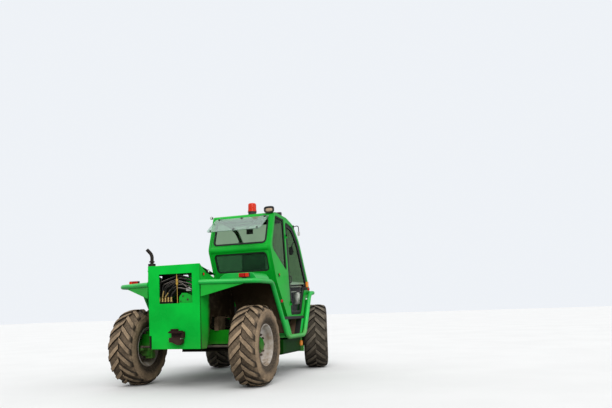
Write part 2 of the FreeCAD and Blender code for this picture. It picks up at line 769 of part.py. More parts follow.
# Frame: two plates that rise into the rear tower, closed above and below between the axles.
inner_half = d.frame_half - d.frame_wall
tower_back = aft(d.tail_x) + d.tail_wall
tower_foot = tower_back + d.tail_lean
front_arch = front_axle - d.arch_half
side_outline = [
    (tower_foot, d.tail_low),
    (tower_back, d.tail_high),
    (aft(-475), 1572),
    (aft(-313), 1502),
    (aft(-90), 1438),
    (aft(d.tower_end_x), d.tower_high),
    (aft(d.tower_end_x), d.frame_high),
    (front_arch - 180, d.frame_high),
    (front_arch - 60, d.arch_high + 60),
    (front_axle + d.arch_half, d.arch_high + 60),
    (front_axle + d.frame_nose, d.frame_high),
    (front_axle + d.frame_nose, d.tail_low),
    (front_axle + d.arch_half, d.tail_low - 40),
    (front_axle + d.arch_half, d.arch_high),
    (front_arch, d.arch_high),
    (front_arch, d.frame_low),
    (rear_axle + d.arch_half, d.frame_low),
    (rear_axle + d.arch_half, d.arch_high),
    (rear_axle - d.arch_back_top, d.arch_high),
    (rear_axle - d.arch_back_foot, d.tail_low),
]
side_left = plate("side", inner_half, d.frame_half, side_outline)
side_right = mirrored(side_left)
belly_xs = (rear_axle + d.arch_half, front_arch)
lower_skin = block(belly_xs, (-inner_half, inner_half), (d.frame_low, d.frame_low + d.frame_wall))
upper_skin = block((aft(d.tower_end_x), front_arch - 180), (-inner_half, inner_half),
                   (d.frame_high - d.frame_wall, d.frame_high))
ram_ear_ys = [(d.boom_y - 92, d.boom_y - 66), (d.boom_y + 66, d.boom_y + 92)]
tower_floor = block((tower_foot, rear_axle - d.arch_back_foot + 43), (-inner_half, inner_half),
                    (d.tail_low, d.tail_low + d.frame_wall))
ram_ears = [
    block((aft(d.ram_foot_x) - 50, aft(d.ram_foot_x) + 50), ys, (d.tail_low + 10, d.ram_foot_high + 50))
    for ys in ram_ear_ys
]
carrier_in = d.boom_y - d.boom_wide / 2 - 14
carrier = plate("side", carrier_in - d.frame_wall, carrier_in, [
    (tower_foot + 3, d.tail_low + 10),
    (tower_back + 3, d.tail_high - 40),
    (aft(d.pivot_x) - 40, d.tail_high - 90),
    (aft(d.pivot_x) + 160, d.pivot_high),
    (aft(d.pivot_x) + 160, d.arch_high + 20),
    (aft(d.pivot_x) - 30, d.arch_high - 130),
    (aft(d.pivot_x) - 90, d.tail_low + 10),
])
carrier = cut(carrier, block(
    (aft(d.tail_x) - 20, aft(d.hose_window_x)), (carrier_in - d.frame_wall - 1, carrier_in + 1),
    (d.port_low - 20, d.port_high + 15),
))
nose_beam = block((front_axle + d.frame_nose - 60, front_axle + d.frame_nose), (-inner_half, inner_half),
                  (d.tail_low + 10, d.frame_high - 60))
pads = [
    block((aft(x), aft(x) + 90), (-d.frame_half + 40, -d.frame_half + 130),
          (d.frame_high - 5, d.cab_floor - d.seat_gap))
    for x in (1080, 1480)
]
pivot_pin = rod(d.boom_pin_radius, (aft(d.pivot_x), carrier_in - d.frame_wall, d.pivot_high),
                inner_half - carrier_in + d.frame_wall + 8, "y")
ram_pin = rod(d.ram_pin_radius, (aft(d.ram_foot_x), d.boom_y - 92, d.ram_foot_high), 184, "y")
node("main_frame", fuse(side_left, side_right, lower_skin, upper_skin, tower_floor, carrier,
                        nose_beam, pivot_pin, ram_pin, *ram_ears, *pads))

# Leaning tail plate with its service opening, and the drawbar jaw below.
step_half = d.frame_half - d.tail_step
plate_back = aft(d.tail_x)
slab = plate("side", -d.frame_half, d.frame_half, [
    (plate_back + d.tail_lean, d.tail_low),
    (tower_foot - d.seat_gap, d.tail_low),
    (tower_back - d.seat_gap, d.tail_high),
    (plate_back, d.tail_high),
])
tail_face = plate("end", plate_back - 10, tower_foot + 10, [
    (12 - d.frame_half, d.tail_low),
    (step_half - 12, d.tail_low),
    (step_half - 12, d.tail_step_high),
    (d.frame_half - 12, d.tail_step_high),
    (d.frame_half, d.tail_high),
    (-d.frame_half, d.tail_high),
], [[
    (d.port_right, d.port_low),
    (d.port_left, d.port_low),
    (d.port_left, d.port_high),
    (d.port_right, d.port_high),
]])
node("tail_plate", common(slab, tail_face))


def plate_face(height):
    """The tail plate's rear face at a height."""
    return plate_back + d.tail_lean * ((d.tail_high - height) / (d.tail_high - d.tail_low))


jaw_low, jaw_high = d.hitch_high - 90, d.hitch_high + 60
jaw_back = plate_face(d.hitch_high) - d.seat_gap
jaw_ys = (d.hitch_y - d.hitch_wide / 2, d.hitch_y + d.hitch_wide / 2)
jaw = plate("side", jaw_ys[0], jaw_ys[1], [
    (jaw_back - d.hitch_reach, jaw_low),
    (plate_face(jaw_low) - d.seat_gap, jaw_low),
    (plate_face(jaw_high) - d.seat_gap, jaw_high),
    (jaw_back - d.hitch_reach, jaw_high),
])
jaw_mouth = block((jaw_back - d.hitch_reach - 1, jaw_back - 20), (jaw_ys[0] - 1, jaw_ys[1] + 1),
                  (d.hitch_high - 28, d.hitch_high + 28))
jaw_bore = rod(d.hitch_bore_radius, (jaw_back - d.hitch_reach / 2, d.hitch_y, d.hitch_high - 100), 200)
node("drawbar_jaw", cut(jaw, jaw_mouth, jaw_bore))

# Perimeter rails with a gusset under each rear run.
def rail_points(side):
    """The rail's route on one side: tail, round the rear wheel, along the sill, over the front wheel."""
    flank = d.rail_y.value * side
    route = [
        (d.rail_corner_x, flank, d.rail_high),
        (d.rail_drop_x, flank, d.rail_high),
        (d.rail_foot_x, flank, d.rail_low),
        (d.rail_rise_x, flank, d.rail_low),
        (d.rail_front_x, flank, d.rail_front_high),
        (d.rail_end_x, flank, d.rail_end_high),
        (d.rail_end_x, (d.frame_half.value + 30.3) * side, d.rail_end_high),
    ]
    start = Vector(aft(d.rail_tail_x).value - 12, (d.frame_half.value - 28) * side, d.rail_high.value)
    return [start] + [Vector(aft(x).value, y, z.value) for x, y, z in route]


rail_trim = block((aft(d.rail_tail_x) - 300, aft(0)), (-d.frame_half - d.seat_gap, d.frame_half + d.seat_gap),
                  (d.rail_high - 100, d.rail_high + 100))
rails = [
    cut(shape_node(tube(rail_points(side), d.rail_radius.value, d.rail_bend.value)), rail_trim)
    for _, side in SIDES
]
node("perimeter_rails", group(*rails))
webs = []
for hand, side in SIDES:
    root, corner = rail_points(side)[:2]
    run = (corner - root).normalize()
    root = root + run * ((d.frame_half + d.seat_gap + d.web_wall).value - abs(root.y)) / abs(run.y)
    across = Vector(-run.y, run.x, 0) * (d.web_wall.value / 2)
    start = root + run * 2
    tip = root + run * ((corner - root).Length * 0.78)
    under = d.rail_radius.value + d.seat_gap.value
    corners = [
        start - Vector(0, 0, under), tip - Vector(0, 0, under),
        start - Vector(0, 0, d.web_drop.value),
    ]
    face = Part.Face(Part.makePolygon([c - across for c in corners + corners[:1]]))
    webs.append(shape_node(face.extrude(across * 2)))
node("rail_gussets", group(*webs))
rail_post = fuse(
    block((aft(d.rail_end_x) - 38, aft(d.rail_end_x) + 38), (d.frame_half + d.seat_gap, d.frame_half + 30),
          (d.frame_high + 10, d.rail_end_high)),
    rod(38, (aft(d.rail_end_x), d.frame_half + d.seat_gap, d.rail_end_high), 30 - d.seat_gap, "y"),
)
node("rail_posts", group(rail_post, mirrored(rail_post)))

# Rear mudguards: sheet inside the rail, over the wheel and down ahead of it.
guard_out = d.rail_y - d.rail_radius - d.seat_gap
guard_in = d.frame_half + d.seat_gap
guard_top = d.rail_high + 14
slope = (d.rail_high - d.rail_low).value / (d.rail_foot_x - d.rail_drop_x).value
guard_side = plate("side", guard_in, guard_out, [
    (aft(-540), guard_top),
    (aft(d.rail_drop_x) - 20, guard_top),
    (aft(d.rail_drop_x) + 40, guard_top - 50),
    (aft(d.rail_foot_x) - 40, d.rail_low + 60),
    (aft(d.rail_foot_x) - 48, d.rail_low + 60),
    (aft(d.rail_drop_x) + 32, guard_top - 54),
    (aft(d.rail_drop_x) - 24, guard_top - d.guard_wall),
    (aft(-540), guard_top - d.guard_wall),
])
guard_cut = plate("plan", guard_top - 100, guard_top + 100, [
    (aft(-700), guard_in - 10),
    (aft(d.rail_tail_x) + 48, guard_in - 10),
    (aft(d.rail_corner_x) + 20, guard_out - 70),
    (aft(d.rail_corner_x) + 110, guard_out + 10),
    (aft(-700), guard_out + 10),
])
guard_left = cut(guard_side, guard_cut)
node("rear_mudguards", group(guard_left, mirrored(guard_left)))

# Front mudguards: sheet between the wheel and what stands behind it, on a foot at the frame.
guard_crown = d.cab_floor + (d.cab_top - d.cab_floor) * d.knee_share - 14
front_guards = []
for side, foot_x, foot_z, arm_x in ((-1, 1712, 700, 1758), (1, 1786, 800, 1790)):
    outer, inner_edge = guard_out * side, d.guard_in * side
    frame_side = (d.frame_half + d.seat_gap) * side
    foot_side = (d.frame_half + 30) * side
    arm_end = (d.guard_in + 40) * side
    low_y, high_y = (inner_edge, outer) if side > 0 else (outer, inner_edge)
    sheet = plate("side", low_y, high_y, [
        (aft(foot_x), foot_z),
        (aft(foot_x) + 8, foot_z),
        (aft(d.rail_front_x) + 10, guard_crown - 6),
        (aft(d.guard_end_x), guard_crown),
        (aft(d.guard_end_x), guard_crown + d.guard_wall),
        (aft(d.rail_front_x) + 2, guard_crown),
    ])
    arm_z = (905, 945) if side < 0 else (800, 840)
    low_y, high_y = (frame_side, arm_end) if side > 0 else (arm_end, frame_side)
    arm = block((aft(arm_x), aft(arm_x) + 30), (low_y, high_y), arm_z)
    low_y, high_y = (frame_side, foot_side) if side > 0 else (foot_side, frame_side)
    foot = block((aft(arm_x), aft(arm_x) + 30), (low_y, high_y), (d.frame_high - 90, arm_z[1]))
    front_guards.append(fuse(sheet, arm, foot))
node("front_mudguards", group(*front_guards))

# Side tank on the right, and the cab step between the rail's two slopes.
tank_in = -d.frame_half - d.seat_gap
tank_body = plate("end", aft(d.tank_rear_x), aft(d.tank_front_x), [
    (d.tank_y, d.tank_low),
    (tank_in, d.tank_low),
    (tank_in, d.tank_high),
    (d.tank_y, d.tank_high),
], rounds={3: d.tank_round})
tank_box = plate("end", aft(d.tank_rear_x), aft(d.well_front_x), [
    (-d.well_out, d.tank_low),
    (d.tank_y + 20, d.tank_low),
    (d.tank_y + 20, d.well_high),
    (-d.well_out, d.well_high),
], rounds={0: d.tank_round})
node("side_tank", fuse(tank_body, tank_box))
step_in = d.tank_y - d.seat_gap
step_out = -guard_out
fall = (d.rail_foot_x - d.rail_drop_x) / (d.rail_high - d.rail_low)
climb = (d.rail_front_x - d.rail_rise_x) / (d.rail_front_high - d.rail_low)
cheek_low, cheek_high = d.rail_low - 10, d.cab_floor - 14
cheek_rise = cheek_high - d.rail_low
rear_foot = aft(d.rail_foot_x) + d.rail_radius + 10
front_foot = aft(d.rail_rise_x) - d.rail_radius - 10
step_tread = block((rear_foot - 20, front_foot + 20), (step_out, step_in), (cheek_low, cheek_low + d.step_wall))
rear_cheek = plate("side", step_out, step_in, [
    (rear_foot, cheek_low),
    (rear_foot + d.rear_cheek, cheek_low),
    (rear_foot + d.rear_cheek - fall * cheek_rise, cheek_high),
    (rear_foot - fall * cheek_rise, cheek_high),
])
front_cheek = plate("side", step_out, step_in, [
    (front_foot - d.front_cheek, cheek_low),
    (front_foot, cheek_low),
    (front_foot + climb * cheek_rise, cheek_high),
    (front_foot - d.front_cheek + climb * cheek_rise, cheek_high),
])
node("cab_step", fuse(step_tread, rear_cheek, front_cheek))

# Cab: an angular shell with rounded corners, of side frames, rear frame, roof and floor.
def level(share):
    """A height in the cab, as a share of the way from its floor to its top."""
    return d.cab_floor + (d.cab_top - d.cab_floor) * share


def post_at(height):
    """Middle of the leaning door post at a height."""
    return aft(d.post_x) - (height - d.cab_floor) * (sine(d.post_lean) / cosine(d.post_lean))


belt, waist = level(d.belt_share), level(d.waist_share)
crown, brow, bulge = level(d.roof_front_share), level(d.brow_share), level(d.bulge_share)
chin, lip, knee = level(d.chin_share), level(d.lip_share), level(d.knee_share)
cab_outline = [
    (aft(d.cab_heel_x), d.cab_floor),
    (aft(d.cab_waist_x), waist),
    (aft(d.cab_belt_x), belt),
    (aft(d.cab_roof_rear_x), d.cab_top),
    (aft(d.cab_roof_front_x), crown),
    (aft(d.cab_brow_x), brow),
    (aft(d.cab_bulge_x), bulge),
    (aft(d.cab_chin_x), chin),
    (aft(d.cab_lip_x), lip),
    (aft(d.cab_knee_x), knee),
    (aft(d.cab_toe_x), d.cab_floor),
]
cab_rounds = {
    0: d.heel_round, 1: d.waist_round, 2: d.belt_round, 3: d.roof_round, 4: d.crown_round,
    5: d.brow_round, 6: d.bulge_round, 7: d.chin_round, 8: d.lip_round,
}
inner = inset(cab_outline, d.rim_cab)
post_width = d.post_half / cosine(d.post_lean)
sill = d.cab_floor + d.rim_cab
door_head = crown - d.rim_cab - 15
quarter_sill, quarter_head = level(0.446), crown - d.rim_cab + 7
quarter_window = [
    inner[2],
    inner[3],
    (post_at(quarter_head) - post_width, quarter_head),
    (post_at(quarter_sill) - post_width, quarter_sill),
]
quarter_rounds = {0: d.belt_round, 1: d.roof_round / 2, 2: d.roof_round / 2, 3: d.roof_round / 2}
door_hole = [
    (post_at(sill) + post_width, sill),
    (post_at(door_head) + post_width, door_head),
    inner[5],
    inner[6],
    inner[7],
    (aft(d.cab_knee_x) - 55, chin - 36),
    (aft(d.cab_toe_x) - 66, sill),
]
door_rounds = {0: 40, 1: 50, 2: d.brow_round - d.rim_cab, 3: d.bulge_round - d.rim_cab, 4: 60, 6: 60}
left_window = [
    (aft(d.cab_waist_x) + 70, waist + 20),
    inner[2],
    inner[3],
    inner[4],
    inner[5],
    inner[6],
    (inner[7][0], inner[7][1] + 30),
    (inner[7][0] - 30, chin - 40),
]
left_rounds = {
    0: 60, 1: d.window_round, 2: d.roof_round / 2, 3: d.crown_round - d.rim_cab, 4: d.brow_round - d.rim_cab,
    5: d.bulge_round - d.rim_cab, 7: 60,
}
hinge_y = d.cab_right - d.hinge_radius
hinge_half = d.hinge_tall / 2
frame_leaves, door_leaves = [], []


def hinged(piece, height):
    """Places a hinge piece, built upright at the origin, on the leaning hinge line."""
    axis_x = post_at(height) + post_width + d.door_gap / 2
    return place(group(piece), axis_x, hinge_y, height, angle=-d.post_lean, axis=Vector(0, 1, 0))


for foot_z in (d.hinge_low, d.hinge_high):
    fixed = fuse(
        block((-48, 0), (d.hinge_radius - 5, d.hinge_radius), (0, hinge_half)),
        rod(d.hinge_radius, (0, 0, 0), hinge_half),
        rod(d.hinge_pin_radius, (0, 0, 0), d.hinge_tall),
    )
    frame_leaves.append(hinged(fixed, foot_z))
    top_z = hinge_half + d.seat_gap
    leaf = block((0, 50), (d.hinge_radius - 5, d.hinge_radius + 5), (top_z, top_z + hinge_half))
    pin_bore = rod(d.hinge_pin_radius + d.run_gap, (0, 0, top_z - 5), hinge_half + 10)
    door_leaves.append(hinged(cut(fuse(rod(d.hinge_radius, (0, 0, top_z), hinge_half), leaf), pin_bore), foot_z))
node("cab_right_frame", fuse(
    plate("side", d.cab_right, d.cab_right + d.cab_wall, cab_outline, [quarter_window, door_hole],
          cab_rounds, [quarter_rounds, door_rounds]),
    *frame_leaves,
))
node("cab_left_frame", plate("side", d.cab_left - d.cab_wall, d.cab_left, cab_outline, [left_window],
                             cab_rounds, [left_rounds]))
span = (d.cab_right + d.cab_wall + d.seat_gap, d.cab_left - d.cab_wall - d.seat_gap)
roof_fall = (d.cab_top - crown) / (d.cab_roof_front_x - d.cab_roof_rear_x)
deep = inset(cab_outline, d.cab_wall)
top_return = 60
rear_sheet = plate("side", span[0], span[1], [
    (aft(d.cab_waist_x) + 4, waist - 20),
    cab_outline[2],
    cab_outline[3],
    (cab_outline[3][0] + top_return, d.cab_top - roof_fall * top_return),
    (cab_outline[3][0] + top_return, d.cab_top - roof_fall * top_return - d.cab_wall),
    deep[3],
    deep[2],
    (aft(d.cab_waist_x) + 4 + d.cab_wall, waist - 20),
], rounds={1: d.belt_round, 2: d.roof_round, 5: d.roof_round - d.cab_wall, 6: d.belt_round - d.cab_wall})
cross_bar = rod(d.bar_radius, (aft(d.cab_belt_x) + d.bar_radius - 8, span[0], belt), span[1] - span[0], "y")
hole_ys = (span[0] + d.rear_edge, span[1] - d.rear_edge)


def rear_hole(low, high):
    """A rear window opening with rounded corners, cut from back to front."""
    return plate("end", aft(d.cab_belt_x) - 60, aft(d.cab_waist_x) + 120, [
        (hole_ys[0], low), (hole_ys[1], low), (hole_ys[1], high), (hole_ys[0], high),
    ], rounds={0: d.window_round, 1: d.window_round, 2: d.window_round, 3: d.window_round})


lower_hole = rear_hole(level(d.rear_sill_share), belt - d.bar_half)
upper_hole = rear_hole(belt + d.bar_half, d.cab_top - d.rear_head)
node("cab_rear_frame", cut(fuse(rear_sheet, cross_bar), lower_hole, upper_hole))
roof_xs = (cab_outline[3][0] + top_return + d.seat_gap, aft(d.cab_roof_front_x) - d.seat_gap)
roof_proud, roof_wall = 6, 50


def roof_line(x, above):
    return (x, d.cab_top - roof_fall * (x - cab_outline[3][0]) + above)


roof = plate("side", span[0], span[1], [
    roof_line(roof_xs[0], roof_proud), roof_line(roof_xs[1], roof_proud),
    roof_line(roof_xs[1], roof_proud - roof_wall), roof_line(roof_xs[0], roof_proud - roof_wall),
])
glass_xs = (roof_xs[0] + 50, roof_xs[1] - 60)
roof_hole = block(glass_xs, (span[0] + 60, span[1] - 60), (crown - 80, d.cab_top + 20))
node("cab_roof", cut(roof, roof_hole))
node("roof_glass", plate("side", span[0] + 60 + d.seat_gap, span[1] - 60 - d.seat_gap, [
    roof_line(glass_xs[0] + d.seat_gap, -20), roof_line(glass_xs[1] - d.seat_gap, -20),
    roof_line(glass_xs[1] - d.seat_gap, -20 - d.glass_wall), roof_line(glass_xs[0] + d.seat_gap, -20 - d.glass_wall),
]))
floor_top = d.cab_floor + d.cab_floor_wall
node("cab_floor", plate("side", span[0], span[1], [
    (aft(d.cab_heel_x), d.cab_floor),
    (aft(d.cab_waist_x) + 30, waist - 60),
    (aft(d.cab_waist_x) + 74, waist - 60),
    (aft(d.cab_heel_x) + 26, floor_top),
    (aft(d.cab_toe_x) - 10, floor_top),
    (aft(d.cab_knee_x) - 14, knee + 14),
    (aft(d.cab_lip_x) - 26, lip + 14),
    (aft(d.cab_lip_x) - 20, lip),
    (aft(d.cab_knee_x), knee),
    (aft(d.cab_toe_x), d.cab_floor),
], rounds={0: d.heel_round}))
screen_out, screen_in = inset(cab_outline, 10), inset(cab_outline, d.glass_wall + 10)
node("windscreen", plate("side", span[0], span[1], [
    (screen_out[4][0] + 6, screen_out[4][1]),
    screen_out[5],
    screen_out[6],
    screen_out[7],
    (screen_out[8][0], lip + 2),
    (screen_in[8][0], lip + 2),
    screen_in[7],
    screen_in[6],
    screen_in[5],
    (screen_in[4][0] + 6, screen_in[4][1]),
], rounds={
    1: d.brow_round - 10, 2: d.bulge_round - 10, 3: d.chin_round - 10,
    6: d.chin_round - 18, 7: d.bulge_round - 18, 8: d.brow_round - 18,
}))


def pane(opening, mid_y, rounds):
    """A pane that fills its opening edge to edge, at the middle of its frame."""
    return plate("side", mid_y - d.glass_wall / 2, mid_y + d.glass_wall / 2, opening, rounds=rounds)


node("quarter_glass", pane(quarter_window, d.cab_right + d.cab_wall / 2, quarter_rounds))
node("left_glass", pane(left_window, d.cab_left - d.cab_wall / 2, left_rounds))
face_run = (cab_outline[1][0] - cab_outline[2][0]) / (belt - waist)
half_glass = d.glass_wall / 2


def rear_x(z):
    """Middle of the lower rear frame at a height."""
    return cab_outline[2][0] + face_run * (belt - z) + d.cab_wall / 2


pane_z0, pane_z1 = level(d.rear_sill_share) - 20, belt - d.bar_half + 20
leaning_pane = plate("side", span[0], span[1], [
    (rear_x(pane_z0) - half_glass, pane_z0), (rear_x(pane_z1) - half_glass, pane_z1),
    (rear_x(pane_z1) + half_glass, pane_z1), (rear_x(pane_z0) + half_glass, pane_z0),
])
node("rear_lower_glass", common(leaning_pane, rear_hole(level(d.rear_sill_share), belt - d.bar_half)))
vent_x = aft(d.cab_roof_rear_x) - 34
vent_z = d.cab_top - 62
vent = plate("end", -d.glass_wall, 0, [
    (span[0] + 26, -d.vent_drop), (span[1] - 26, -d.vent_drop), (span[1] - 26, 0), (span[0] + 26, 0),
], rounds={0: d.window_round, 1: d.window_round})
vent_hinges = [
    rod(9, (vent_x - 8, y, vent_z + 6), 60, "y") for y in (span[0] + 90, span[1] - 150)
]
vent_fall = (d.cab_top - vent_z + 2) / (d.cab_top - belt)
vent_seat = aft(d.cab_roof_rear_x) - (d.cab_roof_rear_x - d.cab_belt_x) * vent_fall - d.seat_gap
vent_arms = [
    block((vent_x - 8, vent_seat), (y + 10, y + 50), (vent_z - 2, vent_z + 12))
    for y in (span[0] + 90, span[1] - 150)
]
vent_pane = place(group(vent), vent_x, 0, vent_z, angle=d.vent_angle, axis=Vector(0, 1, 0))
node("rear_vent_glass", fuse(vent_pane, *vent_hinges, *vent_arms))

# Door: frame and glass in one outline, hung on the leaning post.
door_outline = inset(door_hole, d.door_gap)
door_light = inset(door_outline, d.door_stile)
leaf_rounds = {0: 34, 1: 42, 2: d.brow_round - d.rim_cab - d.door_gap,
               3: d.bulge_round - d.rim_cab - d.door_gap, 4: 52, 6: 52}
light_rounds = {0: 20, 1: 20, 2: leaf_rounds[2] - d.door_stile, 3: leaf_rounds[3] - d.door_stile, 4: 24, 6: 24}
door_y = d.cab_right + 4
node("door_frame", fuse(
    plate("side", door_y, door_y + d.door_wall, door_outline, [door_light], leaf_rounds, [light_rounds]),
    *door_leaves,
))
node("door_glass", pane(door_light, door_y + d.door_wall / 2, light_rounds))

# Engine bay: tub, block and a hood that hinges up on its inner edge.
bay_in = d.frame_half + d.seat_gap
bay_out = guard_out
tub_floor = block((aft(d.tub_rear_x), aft(d.hood_front_x)), (bay_in, bay_out), (d.tub_low, d.tub_low + d.tub_wall))
tub_inner = block((aft(d.hood_rear_x) + d.hood_wall + 6, aft(d.hood_front_x) - d.hood_wall - 6),
                  (bay_in, bay_in + d.tub_wall), (d.tub_low, d.hood_high - d.hood_wall - d.seat_gap))
tub_corner = block((aft(d.hood_rear_x), aft(d.tub_rear_x)), (bay_in - 1, bay_in + d.tub_wall + 1),
                   (d.tub_low - 1, d.hood_low - 20))
tub_outer = block((aft(d.tub_rear_x), aft(d.hood_front_x)), (bay_out - d.tub_wall, bay_out),
                  (d.tub_low, d.hood_low - 6))
tub_ends = [
    block(xs, (bay_in, bay_out), (d.tub_low, d.hood_low - 6))
    for xs in ((aft(d.tub_rear_x), aft(d.tub_rear_x) + d.tub_wall),
               (aft(d.hood_front_x) - d.tub_wall, aft(d.hood_front_x)))
]
node("engine_tub", fuse(tub_floor, cut(tub_inner, tub_corner), tub_outer, *tub_ends))
engine_x = aft(d.tub_rear_x) + 110
node("engine_block", block((engine_x, engine_x + d.engine_long),
                           (bay_in + d.tub_wall + 60, bay_in + d.tub_wall + 60 + d.engine_wide),
                           (d.tub_low + d.tub_wall + d.seat_gap, d.tub_low + d.tub_wall + d.engine_tall)))
hood_out = plate("end", aft(d.hood_rear_x), aft(d.hood_front_x), [
    (bay_in + 2, d.hood_low), (bay_out, d.hood_low), (bay_out, d.hood_high), (bay_in + 2, d.hood_high),
], rounds={2: d.hood_round})
hood_core = plate("end", aft(d.hood_rear_x) + d.hood_wall, aft(d.hood_front_x) - d.hood_wall, [
    (bay_in - 5, d.hood_low - 5), (bay_out - d.hood_wall, d.hood_low - 5),
    (bay_out - d.hood_wall, d.hood_high - d.hood_wall), (bay_in - 5, d.hood_high - d.hood_wall),
], rounds={2: d.hood_round - d.hood_wall})
node("engine_hood", cut(hood_out, hood_core))

# Exhaust: silencer on the left mudguard with a bent tail pipe.
silencer = rod(d.stack_radius, (aft(d.stack_x), d.stack_y, guard_top + d.seat_gap), d.stack_high - guard_top)
pipe_start = Vector(aft(d.stack_x).value, d.stack_y.value, d.stack_high.value - 8)
pipe_route = [
    pipe_start, pipe_start + Vector(0, 0, d.pipe_rise.value * 0.62),
    pipe_start + Vector(-40, 62, d.pipe_rise.value),
]
tail_pipe = shape_node(tube(pipe_route, d.pipe_radius.value, 110))
node("exhaust_stack", fuse(silencer, tail_pipe))

# Boom: built level along +X from its pivot at the origin, then turned down to its rest slope.
def hung_boom(piece):
    return place(group(piece), aft(d.pivot_x), d.boom_y, d.pivot_high, angle=d.boom_angle, axis=Vector(0, 1, 0))


half_w, half_t = d.boom_wide / 2, d.boom_tall / 2
outer_skin = block((-d.boom_tail, d.boom_long), (-half_w, half_w), (-half_t, half_t))
outer_core = block((d.boom_pin_radius + 60, d.boom_long + 1), (d.boom_wall - half_w, half_w - d.boom_wall),
                   (d.boom_wall - half_t, half_t - d.boom_wall))
tail_core = block((-d.boom_tail - 1, -d.boom_pin_radius - 25), (d.boom_wall - half_w, half_w - d.boom_wall),
                  (d.boom_wall - half_t, half_t - d.boom_wall))
boss_out = inner_half - d.boom_y - 2
boss = rod(d.boom_pin_radius + 30, (0, -half_w - 10, 0), boss_out + half_w + 10, "y")
boss_hole = rod(d.boom_pin_radius + d.run_gap, (0, -half_w - 20, 0), boss_out + half_w + 40, "y")
head_ears = []
for ys in ((-92, -66), (66, 92)):
    head_ears.append(block((d.ram_head - 60, d.ram_head + 60), ys, (-d.ram_under, -half_t + 2)))
    head_ears.append(rod(60, (d.ram_head, ys[0], -d.ram_under), 26, "y"))
outer_boom = cut(fuse(outer_skin, boss), outer_core, tail_core, boss_hole)
pad_deep = d.slide_gap - d.seat_gap
mouth = (d.boom_long - 140, d.boom_long - 10)
core_w, core_t = half_w - d.boom_wall, half_t - d.boom_wall
mouth_pads = [block(mouth, (-core_w + 10, core_w - 10), zs)
              for zs in ((core_t - pad_deep, core_t + 1), (-core_t - 1, pad_deep - core_t))]
mouth_pads += [block(mouth, ys, (-core_t + 20, core_t - 20))
               for ys in ((core_w - pad_deep, core_w + 1), (-core_w - 1, pad_deep - core_w))]
node("boom_outer", hung_boom(fuse(outer_boom, *head_ears, *mouth_pads)))
in_w = half_w - d.boom_wall - d.slide_gap
in_t = half_t - d.boom_wall - d.slide_gap
inner_skin = block((400, d.boom_long + 60), (-in_w, in_w), (-in_t, in_t))
nose_x, nose_z = d.boom_long + d.nose_reach, -d.nose_drop
nose = plate("side", -in_w, in_w, [
    (d.boom_long + 30, -in_t),
    (d.boom_long + 30, in_t),
    (d.boom_long + 330, in_t - 20),
    (nose_x + 60, nose_z + 90),
    (nose_x + 66, nose_z - 10),
    (nose_x + 20, nose_z - 66),
    (nose_x - 60, nose_z - 30),
    (d.boom_long + 190, -in_t - 60),
])
nose_hole = rod(d.carriage_pin_radius + d.run_gap, (nose_x, -in_w - 10, nose_z), in_w * 2 + 20, "y")
node("boom_inner", hung_boom(cut(fuse(inner_skin, nose), nose_hole)))

# Carriage: quick hitch frame hung on the nose by two ears.
pin_x = aft(d.pivot_x) + nose_x * cosine(d.boom_angle) + nose_z * sine(d.boom_angle)
pin_z = d.pivot_high - nose_x * sine(d.boom_angle) + nose_z * cosine(d.boom_angle)
face_x = pin_x + d.carriage_back
wide_ys = (d.boom_y - d.carriage_wide / 2, d.boom_y + d.carriage_wide / 2)
top_z = d.carriage_low + d.carriage_tall
cross = [
    block((face_x, face_x + d.carriage_wall), wide_ys, (z, z + 80))
    for z in (d.carriage_low, top_z - 80)
]
posts = [
    block((face_x, face_x + d.carriage_wall), (y, y + 90), (d.carriage_low, top_z))
    for y in (wide_ys[0], wide_ys[1] - 90, d.boom_y - in_w - 100, d.boom_y + in_w + 10)
]
ears = [
    block((pin_x - 50, face_x + 5), (y, y + 26), (pin_z - 55, pin_z + 110))
    for y in (d.boom_y - in_w - 34, d.boom_y + in_w + 8)
]
lock_x, lock_z = face_x + d.carriage_wall + 40, d.carriage_low + 45
lock_lugs = []
for side in (-1, 1):
    lug_ys = (d.boom_y + d.lock_spread / 2 * side - d.lock_wall / 2,
              d.boom_y + d.lock_spread / 2 * side + d.lock_wall / 2)
    lug = fuse(block((face_x + 5, lock_x), lug_ys, (lock_z - 45, lock_z + 45)),
               rod(45, (lock_x, lug_ys[0], lock_z), d.lock_wall, "y"))
    lock_lugs.append(cut(lug, rod(d.lock_bore_radius, (lock_x, lug_ys[0] - 5, lock_z), d.lock_wall + 10, "y")))
carriage_pin = rod(d.carriage_pin_radius, (pin_x, d.boom_y - in_w - 34, pin_z), in_w * 2 + 68, "y")
node("carriage", fuse(carriage_pin, *cross, *posts, *ears, *lock_lugs))

# Lift cylinder between the tower floor and the boom, built along its own axis.
foot = Vector(aft(d.ram_foot_x).value, d.boom_y.value, d.ram_foot_high.value)
slant = math.radians(d.boom_angle.value)
along, under = d.ram_head.value, -d.ram_under.value
head = Vector(
    aft(d.pivot_x).value + along * math.cos(slant) + under * math.sin(slant),
    d.boom_y.value,
    d.pivot_high.value - along * math.sin(slant) + under * math.cos(slant),
)
reach = (head - foot).Length
aim = math.degrees(math.atan2(head.z - foot.z, head.x - foot.x))
eye_half = 58


def eye(at):
    ring = Part.makeCylinder(d.ram_eye.value, 2 * eye_half, Vector(at, -eye_half, 0), Vector(0, 1, 0))
    hole = Part.makeCylinder(
        d.ram_pin_radius.value + d.run_gap.value, 4 * eye_half, Vector(at, -2 * eye_half, 0), Vector(0, 1, 0),
    )
    return ring, hole


def on_axis(radius, start, end):
    return Part.makeCylinder(radius, end - start, Vector(start, 0, 0), Vector(1, 0, 0))


def set_ram(shape):
    feature = shape_node(shape)
    feature.Placement = FreeCAD.Placement(foot, FreeCAD.Rotation(Vector(0, 1, 0), -aim))
    return feature


